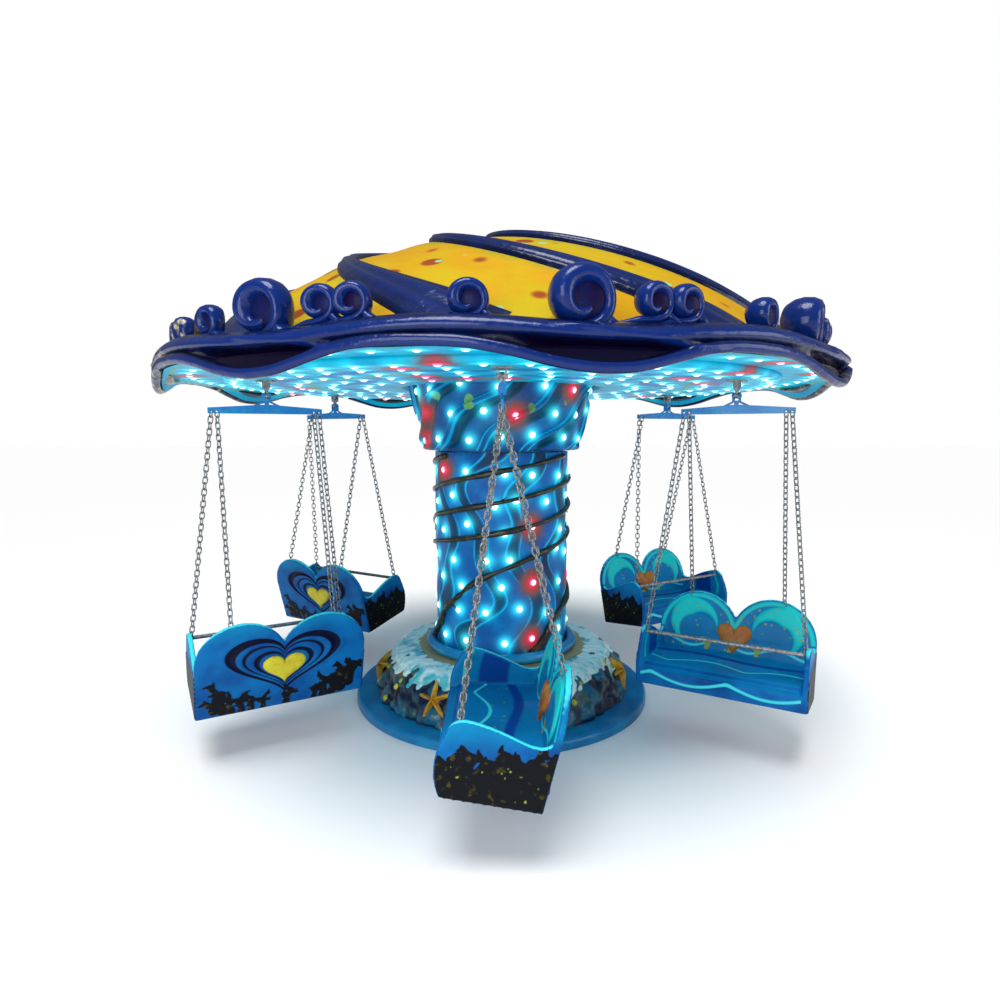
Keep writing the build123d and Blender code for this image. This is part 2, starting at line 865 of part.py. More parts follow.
# Hearts: one on the outside of the back, one on its inside
with BuildPart() as hearts:
    with BuildSketch(back_plane.offset(back_thickness)):
        with Locations((0, back_height(heart_back_z))):
            add(heart_outline(heart_width))
    extrude(amount=heart_proud)
    with BuildSketch(back_plane):
        with Locations((0, back_height(heart_front_z))):
            add(heart_outline(heart_width * 0.9))
    extrude(amount=-heart_proud)
export_turned(hearts.part, "hearts", seat_step)
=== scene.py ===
"""Looks of the flying chair ride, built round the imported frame.

Everything is in metres in the frame's own axes: +Z is the axis of rotation, -Y is the front.
An azimuth is measured from the front toward +X, so a point is (r sin a, -r cos a, z).
"""

from __future__ import annotations

import logging
import math
from dataclasses import dataclass
from enum import Enum
from typing import Sequence

import bmesh
import bpy
import numpy as np
from mathutils import Matrix, Vector

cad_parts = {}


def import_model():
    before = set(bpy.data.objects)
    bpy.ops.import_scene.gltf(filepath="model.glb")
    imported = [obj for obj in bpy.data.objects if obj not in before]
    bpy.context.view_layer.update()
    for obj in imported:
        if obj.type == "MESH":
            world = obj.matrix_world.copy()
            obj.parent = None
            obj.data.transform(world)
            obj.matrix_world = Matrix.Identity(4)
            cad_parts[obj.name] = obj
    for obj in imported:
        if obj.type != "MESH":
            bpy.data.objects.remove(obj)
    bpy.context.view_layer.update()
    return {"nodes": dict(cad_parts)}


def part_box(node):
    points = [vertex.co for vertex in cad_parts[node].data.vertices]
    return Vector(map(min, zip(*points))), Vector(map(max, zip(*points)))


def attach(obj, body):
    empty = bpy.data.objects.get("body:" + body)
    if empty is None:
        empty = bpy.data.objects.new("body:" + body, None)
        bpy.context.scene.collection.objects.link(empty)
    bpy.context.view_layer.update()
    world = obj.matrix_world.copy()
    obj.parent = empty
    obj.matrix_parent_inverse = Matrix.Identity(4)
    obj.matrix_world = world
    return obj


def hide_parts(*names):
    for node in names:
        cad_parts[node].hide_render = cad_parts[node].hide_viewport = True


LOG = logging.getLogger("flying_chairs")
TAU = 2.0 * math.pi
SEED = 7

SEATS = 6
WAVES = 9
WAVE_STEP = 360.0 / WAVES
CREST_AZIMUTH = 9.5
SEAT_STEP = 360.0 / SEATS
HOOK_RADIUS = 1.35
RIM_TOP_Z = 1.980

COAT_ROUGHNESS = 0.08
FLOOR_GLOW = 0.08
WELD = 0.0001

# Types that come up often
Array = np.ndarray
Colour = tuple[float, float, float]
Node = bpy.types.Node
Socket = bpy.types.NodeSocket
Tone = Socket | Colour
Material = bpy.types.Material
Piece = bpy.types.Object
Shape = tuple[Array, list[list[int]]]
Pairs = tuple[tuple[float, float], ...]
Triples = tuple[tuple[float, float, float], ...]
Weeds = tuple[tuple[float, float, float, int], ...]


class Body(Enum):
    """The moving bodies of the frame that carry single pieces."""

    BASE = "base"
    ROTOR = "rotor"


class Gloss(Enum):
    """How a moulded or painted surface shines, as (roughness, coat weight)."""

    WET = (0.24, 0.28)
    GLOSSY = (0.32, 0.20)
    SATIN = (0.50, 0.05)


# Colours shared by several finishes, as linear values
PALE_CYAN: Colour = (0.060, 0.680, 0.780)
LEMON: Colour = (0.780, 0.620, 0.008)
OCHRE: Colour = (0.480, 0.230, 0.015)
RUST: Colour = (0.330, 0.060, 0.008)
LEAF: Colour = (0.170, 0.380, 0.030)
PINK: Colour = (1.000, 0.030, 0.160)


def ring_point(radius: Array | float, azimuth_deg: Array | float, z: Array | float) -> Array:
    """Place points round the axis.

    Args:
        radius: distance from the axis in metres.
        azimuth_deg: azimuth from the front toward +X, in degrees.
        z: height in metres.

    Returns:
        An array of points with x, y, z in its last axis.
    """
    angle = np.radians(azimuth_deg)
    x = radius * np.sin(angle)
    y = -radius * np.cos(angle)
    return np.stack(np.broadcast_arrays(x, y, z), axis=-1)


def smooth_step(low: float, high: float, value: Array) -> Array:
    """Return 0 below low, 1 above high and a smooth rise between."""
    share = np.clip((value - low) / (high - low), 0.0, 1.0)
    return share * share * (3.0 - 2.0 * share)


def waves_noise(points: Array, scale: float, seed: int, octaves: int = 3) -> Array:
    """Return soft noise between about -1 and 1 from sums of tilted sine waves.

    Args:
        points: an array of positions, n by 3.
        scale: size of the largest lumps, in metres.
        seed: constant seed, so that each run is the same.
        octaves: how many finer layers are added.

    Returns:
        One value for each point.
    """
    rng = np.random.default_rng(seed)
    total = np.zeros(len(points))
    weight = 0.0
    for octave in range(octaves):
        share = 0.5**octave
        for _ in range(5):
            direction = rng.normal(size=3)
            direction /= np.linalg.norm(direction)
            frequency = TAU / scale * (2.0**octave) * rng.uniform(0.7, 1.3)
            total += share * np.sin(points @ direction * frequency + rng.uniform(0, TAU))
        weight += share * 5
    return total / weight * 2.2


def catmull(points: Sequence[Sequence[float]], count: int, closed: bool = False) -> Array:
    """Draw a smooth curve through a few points.

    Args:
        points: control points, of any dimension.
        count: number of samples on the result.
        closed: whether the curve returns to its start.

    Returns:
        An array of count samples.
    """
    control = np.asarray(points, dtype=float)
    if closed:
        control = np.vstack([control[-1:], control, control[:2]])
    else:
        control = np.vstack([2 * control[0] - control[1], control, 2 * control[-1] - control[-2]])
    spans = len(control) - 3
    along = np.linspace(0, spans, count, endpoint=not closed)
    index = np.minimum(along.astype(int), spans - 1)
    t = (along - index)[:, None]
    a, b, c, d = (control[index + k] for k in range(4))
    bend, twist = 2 * a - 5 * b + 4 * c - d, 3 * b - a - 3 * c + d
    return 0.5 * (2 * b + (c - a) * t + bend * t**2 + twist * t**3)


def stroke_distance(points: Array, strokes: Sequence[Array], widths: Sequence[float]) -> Array:
    """Return the distance to the nearest thick stroke, negative inside.

    Args:
        points: n by 2 positions.
        strokes: polylines, each m by 2.
        widths: half width of each stroke at its start; it tapers to a third at its end.

    Returns:
        n distances in the units given.
    """
    nearest = np.full(len(points), np.inf)
    for line, width in zip(strokes, widths):
        steps = len(line) - 1
        for index in range(steps):
            a, b = line[index], line[index + 1]
            run = b - a
            share = np.clip((points - a) @ run / max(run @ run, 1e-12), 0, 1)
            along = (index + share) / steps
            gap = np.hypot(*(points - a - share[:, None] * run).T)
            nearest = np.minimum(nearest, gap - width * (1 - 0.65 * along))
    return nearest


def heart_outline(width: float, samples: int = 64) -> Array:
    """Return a heart of this width about the origin, tip down, n by 2."""
    t = np.linspace(0, TAU, samples, endpoint=False)
    x = 16 * np.sin(t) ** 3
    y = 13 * np.cos(t) - 5 * np.cos(2 * t) - 2 * np.cos(3 * t) - np.cos(4 * t)
    return np.stack([x, y + 2.5], axis=1) * width / 32.0


def branch_strokes(
    root: tuple[float, float], height: float, seed: int, spread: float = 0.9
) -> tuple[list[Array], list[float]]:
    """Grow a small branching weed.

    Args:
        root: foot of the stem.
        height: height of the weed in metres.
        seed: constant seed.
        spread: how far the branches lean out.

    Returns:
        The strokes and their half widths.
    """
    rng = np.random.default_rng(seed)
    strokes: list[Array] = []
    widths: list[float] = []

    def grow(foot: Array, angle: float, length: float, width: float, depth: int) -> None:
        """Add one stem and its side stems."""
        bend = rng.uniform(-0.35, 0.35)
        steps = [foot]
        for part in range(1, 4):
            turn = angle + bend * part / 3
            steps.append(steps[-1] + length / 3 * np.array([math.sin(turn), math.cos(turn)]))
        strokes.append(np.array(steps))
        widths.append(width)
        if depth == 0:
            return
        for part, side in ((1, -1), (2, 1), (3, rng.choice([-1, 1]))):
            lean = angle + side * rng.uniform(0.5, spread)
            grow(steps[part], lean, length * rng.uniform(0.45, 0.65), width * 0.7, depth - 1)

    grow(np.array(root), rng.uniform(-0.2, 0.2), height * 0.60, height * 0.160, 2)
    return strokes, widths


def new_mesh(
    name: str,
    vertices: Array,
    faces: Sequence[Sequence[int]] | Array,
    materials: Sequence[Material],
    smooth: bool = True,
) -> Piece:
    """Make a mesh object in the scene.

    Args:
        name: the object's name.
        vertices: positions in metres, x, y, z in the last axis.
        faces: corner indices of each face.
        materials: the material slots.
        smooth: whether faces are shaded smooth.

    Returns:
        The new object, at the origin.
    """
    mesh = bpy.data.meshes.new(name)
    places = np.asarray(vertices, dtype=float).reshape(-1, 3).tolist()
    mesh.from_pydata(places, [], [list(map(int, face)) for face in faces])
    mesh.validate()
    for material in materials:
        mesh.materials.append(material)
    mesh.polygons.foreach_set("use_smooth", np.full(len(mesh.polygons), smooth))
    mesh.update()
    return link_piece(name, mesh)


def grid_faces(rows: int, columns: int, close_rows: bool = False, close_columns: bool = True) -> Array:
    """Return the quads of a rows by columns grid, closed round unless close_columns is off."""
    i = np.arange(rows if close_rows else rows - 1)
    j = np.arange(columns if close_columns else columns - 1)
    ii, jj = np.meshgrid(i, j, indexing="ij")
    up, right = (ii + 1) % rows, (jj + 1) % columns
    quads = np.stack([ii * columns + jj, ii * columns + right, up * columns + right, up * columns + jj], -1)
    return quads.reshape(-1, 4)


def capped_faces(rows: int, columns: int) -> list[list[int]]:
    """Return the faces of a grid closed round, and a fan from its last row to the point after it."""
    faces = [list(quad) for quad in grid_faces(rows, columns)]
    base, top = (rows - 1) * columns, rows * columns
    return faces + [[base + j, base + (j + 1) % columns, top] for j in range(columns)]


def full_turn(columns: int) -> Array:
    """Return evenly spaced azimuths round the axis in degrees, as one row."""
    return (np.arange(columns) * 360.0 / columns)[None, :]


def coat_mesh(mesh: bpy.types.Mesh, material: Material) -> None:
    """Give a mesh one material and smooth shading."""
    mesh.materials.clear()
    mesh.materials.append(material)
    mesh.polygons.foreach_set("use_smooth", np.full(len(mesh.polygons), True))


def paint(piece: Piece, name: str, values: Array) -> None:
    """Store one number for each point of a piece, for its material to read."""
    layer = piece.data.attributes.new(name, "FLOAT", "POINT")
    layer.data.foreach_set("value", np.ascontiguousarray(values, dtype=np.float32).ravel())


def positions(piece: Piece) -> Array:
    """Return the points of a mesh, n by 3."""
    flat = np.empty(len(piece.data.vertices) * 3)
    piece.data.vertices.foreach_get("co", flat)
    return flat.reshape(-1, 3)


def normals(piece: Piece) -> Array:
    """Return the point normals of a mesh, n by 3."""
    flat = np.empty(len(piece.data.vertices) * 3, dtype=np.float32)
    piece.data.vertex_normals.foreach_get("vector", flat)
    return flat.reshape(-1, 3).astype(float)


def move_points(piece: Piece, points: Array) -> None:
    """Set the points of a mesh."""
    piece.data.vertices.foreach_set("co", np.ascontiguousarray(points, dtype=np.float64).ravel())
    piece.data.update()


def tube(
    path: Array, radii: Array, sides: int = 10, flatten: float = 1.0, up: Array | None = None
) -> Shape:
    """Sweep a round section along a path, with closed round ends.

    Args:
        path: n by 3 points.
        radii: n radii in metres.
        sides: corners of the section.
        flatten: how deep the section is along the up direction, against its width.
        up: fixed direction that the section keeps, or None for world Z.

    Returns:
        The vertices and the quads.
    """
    tangent = np.gradient(path, axis=0)
    tangent /= np.linalg.norm(tangent, axis=1, keepdims=True)
    fixed = np.array([0.0, 0.0, 1.0]) if up is None else np.asarray(up, dtype=float)
    side = np.cross(tangent, fixed)
    side /= np.maximum(np.linalg.norm(side, axis=1, keepdims=True), 1e-9)
    over = np.cross(side, tangent)
    angle = np.linspace(0, TAU, sides, endpoint=False)
    ring = radii[:, None, None] * (
        side[:, None, :] * np.cos(angle)[None, :, None]
        + flatten * over[:, None, :] * np.sin(angle)[None, :, None]
    )
    rings = path[:, None, :] + ring
    vertices = rings.reshape(-1, 3)
    quads = grid_faces(len(path), sides)[:, ::-1]
    ends = np.vstack([path[0] - tangent[0] * radii[0] * 0.6, path[-1] + tangent[-1] * radii[-1] * 0.6])
    first, last = len(vertices), len(vertices) + 1
    caps = [[(j + 1) % sides, j, first, first] for j in range(sides)]
    base = (len(path) - 1) * sides
    caps += [[base + j, base + (j + 1) % sides, last, last] for j in range(sides)]
    faces = [list(q) for q in quads] + [c[:3] for c in caps]
    return np.vstack([vertices, ends]), faces


def merge_shapes(shapes: Sequence[tuple[Array, Sequence[Sequence[int]]]]) -> Shape:
    """Join several (vertices, faces) shapes into one."""
    vertices: list[Array] = []
    faces: list[list[int]] = []
    count = 0
    for points, quads in shapes:
        vertices.append(points)
        faces += [[int(i) + count for i in quad] for quad in quads]
        count += len(points)
    return np.vstack(vertices), faces


def turned(points: Array, degrees: float) -> Array:
    """Turn points about the axis of the ride, toward +X from the front."""
    angle = math.radians(degrees)
    c, s = math.cos(angle), math.sin(angle)
    return points @ np.array([[c, s, 0], [-s, c, 0], [0, 0, 1]])


def link_piece(name: str, data: bpy.types.ID) -> Piece:
    """Return a new object for a mesh, light or camera, at the origin of the scene."""
    piece = bpy.data.objects.new(name, data)
    bpy.context.scene.collection.objects.link(piece)
    return piece


def remove_piece(piece: Piece) -> None:
    """Remove an object and its mesh."""
    mesh = piece.data
    bpy.data.objects.remove(piece)
    bpy.data.meshes.remove(mesh)


def evaluated_mesh(piece: Piece) -> bpy.types.Mesh:
    """Return a plain mesh of an object with its modifiers applied."""
    bpy.context.view_layer.update()
    graph = bpy.context.evaluated_depsgraph_get()
    return bpy.data.meshes.new_from_object(piece.evaluated_get(graph))


def fix_outward(piece: Piece, centre: Sequence[float] = (0.0, 0.0, -1.0)) -> None:
    """Turn every face of an open shell away from a point.

    Args:
        piece: the mesh to turn.
        centre: the point that faces look away from.
    """
    mesh = piece.data
    centres = np.empty(len(mesh.polygons) * 3)
    mesh.polygons.foreach_get("center", centres)
    facing = np.empty(len(mesh.polygons) * 3)
    mesh.polygons.foreach_get("normal", facing)
    dots = np.sum((centres.reshape(-1, 3) - centre) * facing.reshape(-1, 3), axis=1)
    if np.mean(dots > 0) < 0.5:
        mesh.flip_normals()
        mesh.update()


def fix_solid(piece: Piece) -> None:
    """Make every face of a closed mesh point outwards."""
    work = bmesh.new()
    work.from_mesh(piece.data)
    bmesh.ops.recalc_face_normals(work, faces=work.faces)
    work.to_mesh(piece.data)
    work.free()
    piece.data.update()


class NodeBuilder:
    """Adds nodes to a tree and feeds their inputs."""

    def __init__(self, tree: bpy.types.NodeTree) -> None:
        """Start on a tree."""
        self.tree = tree

    def feed(self, value: object, socket: Socket) -> None:
        """Link a socket to a node or another socket, or set it to a plain value; a colour gets its alpha."""
        source = value.outputs[0] if isinstance(value, Node) else value
        if isinstance(source, Socket):
            self.tree.links.new(source, socket)
        elif socket.type == "RGBA":
            socket.default_value = (*source, 1.0)
        else:
            socket.default_value = source

    def node(self, kind: str, feeds: dict | None = None, **settings: object) -> Node:
        """Add a node, set its properties and feed its inputs.

        Args:
            kind: the node's type.
            feeds: a node, a socket or a plain value for each input, by name or index.
            settings: the node's properties.

        Returns:
            The new node.
        """
        made = self.tree.nodes.new(kind)
        for key, value in settings.items():
            setattr(made, key, value)
        for key, value in (feeds or {}).items():
            self.feed(value, made.inputs[key])
        return made


class Shader(NodeBuilder):
    """A small builder of node materials."""

    def __init__(self, name: str) -> None:
        """Start a material with one Principled shader."""
        self.material = bpy.data.materials.new(name)
        self.material.use_nodes = True
        super().__init__(self.material.node_tree)
        self.bsdf = self.tree.nodes["Principled BSDF"]
        self.coords = self.node("ShaderNodeTexCoord").outputs["Object"]

    def attribute(self, name: str) -> Socket:
        """Return the value of a point attribute."""
        return self.node("ShaderNodeAttribute", attribute_name=name).outputs["Fac"]

    def noise(self, scale: float, detail: float = 3.0, stretch: Colour = (1, 1, 1)) -> Socket:
        """Return a noise value on Object coordinates."""
        mapped = self.node("ShaderNodeMapping", {"Vector": self.coords, "Scale": stretch})
        feeds = {"Vector": mapped, "Scale": scale, "Detail": detail}
        return self.node("ShaderNodeTexNoise", feeds).outputs["Fac"]

    def cells(self, scale: float) -> Socket:
        """Return the distance to the nearest cell centre on Object coordinates."""
        return self.node("ShaderNodeTexVoronoi", {"Vector": self.coords, "Scale": scale}).outputs["Distance"]

    def ramp(self, value: Socket, low: float, high: float) -> Socket:
        """Return 0 to 1 as value goes from low to high, smoothly; low may be above high."""
        feeds = {"Value": value, "From Min": low, "From Max": high}
        return self.node("ShaderNodeMapRange", feeds, interpolation_type="SMOOTHSTEP").outputs["Result"]

    def combine(self, operation: str, a: Socket, b: Socket | float) -> Socket:
        """Return a and b joined by a Math node."""
        return self.node("ShaderNodeMath", {0: a, 1: b}, operation=operation).outputs[0]

    def product(self, a: Socket, b: Socket | float) -> Socket:
        """Return a times b."""
        return self.combine("MULTIPLY", a, b)

    def mix(
        self,
        share: Socket,
        first: Tone,
        second: Tone,
    ) -> Socket:
        """Mix two colours.

        Args:
            share: 0 for the first colour, 1 for the second.
            first: a colour or a socket.
            second: a colour or a socket.

        Returns:
            The mixed colour.
        """
        return self.node("ShaderNodeMix", {0: share, 6: first, 7: second}, data_type="RGBA").outputs[2]

    def clouds(
        self, scale: float, low: float, high: float, first: Tone, second: Tone, detail: float = 3.0
    ) -> Socket:
        """Return first where the noise is at low and second where it is at high."""
        return self.mix(self.ramp(self.noise(scale, detail), low, high), first, second)

    def layer(self, name: str, low: float, high: float, under: Tone, over: Tone) -> Socket:
        """Return under, covered by over as the named attribute goes from low to high."""
        return self.mix(self.ramp(self.attribute(name), low, high), under, over)

    def finish(
        self,
        colour: Tone,
        gloss: Gloss,
        metallic: float = 0.0,
        specular: float = 0.5,
        bump: Socket | None = None,
        bump_height: float = 0.002,
        glow: Socket | None = None,
        glow_colour: Socket | None = None,
    ) -> Material:
        """Set the shader's sockets and return the material.

        Args:
            colour: base colour.
            gloss: shine of the surface.
            metallic: 1 for bare metal.
            specular: strength of the reflection of what isn't metal.
            bump: height value, or None.
            bump_height: depth of the bump in metres.
            glow: strength of the light it gives, or None.
            glow_colour: colour of that light.

        Returns:
            The finished material.
        """
        rough, coat = gloss.value
        feeds = {
            "Base Color": colour, "Roughness": rough, "Coat Weight": coat, "Coat Roughness": COAT_ROUGHNESS,
            "Metallic": metallic, "Specular IOR Level": specular,
        }
        if bump is not None:
            feeds["Normal"] = self.node("ShaderNodeBump", {"Height": bump, "Distance": bump_height})
        if glow is not None:
            feeds |= {"Emission Color": glow_colour, "Emission Strength": glow}
        for name, value in feeds.items():
            self.feed(value, self.bsdf.inputs[name])
        return self.material


@dataclass(frozen=True)
class PlainPaint:
    """Paint that drifts between two colours, with fine orange peel and small worn patches."""

    name: str
    first: Colour
    second: Colour
    gloss: Gloss
    scale: float
    specular: float = 0.5

    def build(self) -> Material:
        """Return the material."""
        shader = Shader(self.name)
        colour = shader.clouds(self.scale, 0.35, 0.75, self.first, self.second)
        worn = shader.ramp(shader.noise(self.scale * 5.0, 5.0), 0.62, 0.72)
        colour = shader.mix(shader.product(worn, 0.35), colour, tuple(c * 0.3 for c in self.first))
        grain = shader.noise(self.scale * 9, 2.0)
        return shader.finish(colour, self.gloss, specular=self.specular, bump=grain, bump_height=0.0012)


@dataclass(frozen=True)
class PlatedSteel:
    """Worn zinc-plated steel."""

    name: str = "zinc plated steel"
    bright: Colour = (0.44, 0.44, 0.45)
    dull: Colour = (0.17, 0.16, 0.15)

    def build(self) -> Material:
        """Return the material."""
        shader = Shader(self.name)
        tone = shader.clouds(90, 0.3, 0.7, self.bright, self.dull, 2.0)
        grain = shader.noise(220, 2.0)
        return shader.finish(tone, Gloss.SATIN, metallic=0.85, bump=grain, bump_height=0.0006)


@dataclass(frozen=True)
class WavePaint:
    """The glossy navy of the waves, with painted highlight on its ridges, painted shade in its hollows, and
    cream and gold patches in places that are partly painted highlight.
    """

    navy: Colour = (0.001, 0.004, 0.030)
    drift: Colour = (0.001, 0.010, 0.070)
    ridge: Colour = (0.003, 0.026, 0.200)
    hollow_shade: Colour = (0.003, 0.001, 0.020)
    gilt_glint: Colour = (0.62, 0.55, 0.30)

    def build(self) -> Material:
        """Return the material."""
        shader = Shader("wave paint")
        base = shader.clouds(5.0, 0.35, 0.7, self.navy, self.drift)
        # Painted highlight on the ridges; painted shade in the eye, the recess and on the underside.
        lit = shader.layer("ridge", 0.1, 1.0, base, self.ridge)
        dark = shader.layer("hollow_shade", 0.0, 0.8, lit, self.hollow_shade)
        # Cream and gold patches, partly paint and partly painted highlight.
        patch = shader.product(shader.ramp(shader.noise(21.0, 6.0), 0.50, 0.66), shader.attribute("gilt_glint"))
        colour = shader.mix(patch, dark, self.gilt_glint)
        return shader.finish(colour, Gloss.WET, specular=0.20, bump=shader.noise(18, 3.0), bump_height=0.007)


@dataclass(frozen=True)
class RoofPaint:
    """The yellow roof with its rust marks, pale dots and green edges."""

    yellow: Colour = (0.640, 0.330, 0.000)
    lemon: Colour = (0.580, 0.440, 0.001)

    def build(self) -> Material:
        """Return the material."""
        shader = Shader("roof panel paint")
        base = shader.clouds(2.6, 0.35, 0.7, self.yellow, self.lemon)
        spotted = shader.mix(shader.ramp(shader.cells(4.4), 0.25, 0.17), base, RUST)
        dotted = shader.mix(shader.ramp(shader.cells(6.3), 0.15, 0.10), spotted, (0.30, 0.62, 0.36))
        rim = shader.product(shader.ramp(shader.noise(8.0, 4.0), 0.35, 0.6), shader.attribute("edge"))
        colour = shader.mix(rim, dotted, LEAF)
        return shader.finish(colour, Gloss.SATIN, specular=0.12, bump=shader.noise(9, 4.0), bump_height=0.008)


@dataclass(frozen=True)
class LitMoulding:
    """Painted moulding with dark bands, fine lines, green spots, the painted light of its lamps and an even
    painted glow.
    """

    name: str
    base: Colour
    cloud: Colour
    band: Colour
    line: Colour
    ambient_glow: float

    def build(self) -> Material:
        """Return the material."""
        shader = Shader(self.name)
        ground = shader.clouds(7.0, 0.4, 0.75, self.base, self.cloud)
        banded = shader.layer("band", 0.008, -0.006, ground, self.band)
        lined = shader.layer("line", 0.004, -0.001, banded, self.line)
        spotted = shader.layer("spot", 0.004, -0.003, lined, LEAF)
        warm = shader.layer("glow_pink", 0.0, 0.22, spotted, (0.160, 0.045, 0.003))
        light = shader.layer("glow", 0.05, 0.95, (0.0, 0.34, 0.62), (0.04, 0.86, 1.0))
        light = shader.layer("glow_pink", 0.05, 0.5, light, PINK)
        # The lamps' shine plus an even glow, both painted light on the surface.
        power = shader.combine("ADD", shader.attribute("shine"), self.ambient_glow)
        grain = shader.noise(30, 3.0)
        return shader.finish(
            warm, Gloss.SATIN, specular=0.22, bump=grain, bump_height=0.004, glow=power, glow_colour=light
        )


@dataclass(frozen=True)
class VineBark:
    """Dark olive bark with brown streaks."""

    dark: Colour = (0.012, 0.009, 0.002)
    light: Colour = (0.085, 0.055, 0.008)

    def build(self) -> Material:
        """Return the material."""
        shader = Shader("vine paint")
        streaks = shader.ramp(shader.noise(18, 4.0, (1, 1, 3)), 0.45, 0.75)
        colour = shader.mix(streaks, self.dark, self.light)
        return shader.finish(colour, Gloss.GLOSSY, bump=shader.noise(60, 4.0), bump_height=0.004)


@dataclass(frozen=True)
class LampGlass:
    """A lit lens, white in its middle."""

    name: str
    colour: Colour

    def build(self) -> Material:
        """Return the material."""
        shader = Shader(self.name)
        tone = shader.layer("core", 0.15, 0.7, self.colour, (1.0, 1.0, 1.0))
        shader.bsdf.inputs["Emission Strength"].default_value = 1.30
        shader.tree.links.new(tone, shader.bsdf.inputs["Emission Color"])
        return shader.finish(self.colour, Gloss.WET)


@dataclass(frozen=True)
class ReefPaint:
    """The painted reef: painted shade in its hollows and at its foot, teal and brown faces, cream ledge and
    pale foam.
    """

    teal: Colour = (0.004, 0.150, 0.250)
    grey: Colour = (0.030, 0.095, 0.110)
    hollow_shade: Colour = (0.002, 0.014, 0.050)
    sand: Colour = (0.380, 0.330, 0.160)
    foam: Colour = (0.760, 0.960, 0.940)

    def build(self) -> Material:
        """Return the material."""
        shader = Shader("reef paint")
        face = shader.clouds(7.0, 0.42, 0.58, self.teal, self.grey, 4.0)
        brown = shader.clouds(12.0, 0.60, 0.68, face, (0.180, 0.110, 0.030), 5.0)
        # Painted shade in the deep places of the relief and at the foot.
        shaded = shader.layer("relief", 0.25, -0.30, brown, self.hollow_shade)
        sandy = shader.layer("sand", 0.2, 0.8, shaded, self.sand)
        drift = shader.clouds(9.0, 0.50, 0.66, self.foam, (0.08, 0.56, 0.64))
        colour = shader.layer("foam", 0.35, 0.60, sandy, drift)
        return shader.finish(colour, Gloss.GLOSSY, bump=shader.noise(22, 5.0), bump_height=0.014)


@dataclass(frozen=True)
class SeatPaint:
    """The moulded seat: blue with navy rings, cyan relief, dark weed, pale lines, and painted highlight on
    its top edges and the crest of its back.
    """

    ground: Colour = (0.001, 0.068, 0.285)
    drift: Colour = (0.001, 0.155, 0.450)
    tint: Colour = (0.000, 0.360, 0.620)
    deep: Colour = (0.000, 0.055, 0.300)
    rings: Pairs = ((0.06, 0.25), (0.40, 0.54), (0.66, 0.98))

    def build(self) -> Material:
        """Return the material."""
        shader = Shader("seat paint")
        ground = shader.clouds(6.0, 0.3, 0.7, self.ground, self.drift)
        colour = shader.mix(shader.attribute("tint"), ground, self.tint)
        colour = shader.layer("deep", 0.010, -0.010, colour, self.deep)
        colour = shader.layer("cyan", 0.006, -0.004, colour, (0.008, 0.610, 0.600))
        colour = shader.layer("pale", 0.004, -0.003, colour, (0.060, 0.720, 0.800))
        level = shader.attribute("ring")
        for low, high in self.rings:
            band = shader.product(shader.ramp(level, low, low + 0.05), shader.ramp(level, high, high - 0.05))
            colour = shader.mix(band, colour, (0.001, 0.003, 0.026))
        weed = shader.clouds(34.0, 0.58, 0.72, (0.003, 0.004, 0.007), (0.060, 0.050, 0.006), 4.0)
        colour = shader.layer("weed", 0.002, -0.002, colour, weed)
        colour = shader.layer("speck", 0.002, -0.002, colour, (0.30, 0.40, 0.06))
        grain = shader.noise(24, 3.0)
        return shader.finish(colour, Gloss.SATIN, specular=0.10, bump=grain, bump_height=0.004)


class Finishes:
    """Every material of the ride, made once."""

    def __init__(self) -> None:
        """Build the materials."""
        satin, glossy = Gloss.SATIN, Gloss.GLOSSY
        self.rim = WavePaint().build()
        core = PlainPaint("curl core paint", (0.008, 0.001, 0.040), (0.001, 0.012, 0.100), satin, 14, 0.12)
        self.core = core.build()
        self.dome = RoofPaint().build()
        lit = {
            # The soffit's 0.16 is an even painted glow over its whole surface.
            "soffit": ((0, 0.36, 0.56), (0, 0.56, 0.68), (0, 0.13, 0.42), (0, 0.66, 0.74), 0.16),
            "capital": ((0, 0.022, 0.180), (0, 0.105, 0.380), (0, 0.003, 0.030), (0, 0.34, 0.60), 0.0),
            "column": ((0, 0.065, 0.330), (0, 0.200, 0.540), (0, 0.006, 0.055), (0, 0.46, 0.70), 0.0),
        }
        self.soffit = LitMoulding("soffit paint", *lit["soffit"]).build()
        self.capital = LitMoulding("capital paint", *lit["capital"]).build()
        self.column = LitMoulding("column paint", *lit["column"]).build()
        self.vine = VineBark().build()
        self.lamp_cyan = LampGlass("cyan lamp", (0.25, 0.95, 1.0)).build()
        self.lamp_pink = LampGlass("pink lamp", (1.0, 0.08, 0.26)).build()
        self.rock = ReefPaint().build()
        self.foam = PlainPaint("sea foam", (0.50, 0.86, 0.86), PALE_CYAN, glossy, 14).build()
        self.starfish = PlainPaint("starfish", (0.64, 0.36, 0.014), (0.44, 0.14, 0.008), satin, 30).build()
        self.bubble = PlainPaint("bubble", LEAF, LEMON, Gloss.WET, 20).build()
        self.deck = PlainPaint("deck paint", (0.001, 0.200, 0.480), (0.002, 0.330, 0.620), glossy, 6).build()
        self.seat = SeatPaint().build()
        self.heart = PlainPaint("heart paint", (0.66, 0.60, 0.008), (0.58, 0.44, 0.004), satin, 30).build()
        self.heart_rust = PlainPaint("rust heart paint", (0.42, 0.10, 0.006), OCHRE, satin, 30).build()
        self.beam = PlainPaint("beam paint", (0.003, 0.190, 0.520), (0.003, 0.270, 0.580), glossy, 12).build()
        self.steel = PlatedSteel().build()
        self.frame = PlainPaint("frame paint", (0.12, 0.13, 0.15), (0.20, 0.21, 0.22), satin, 8).build()


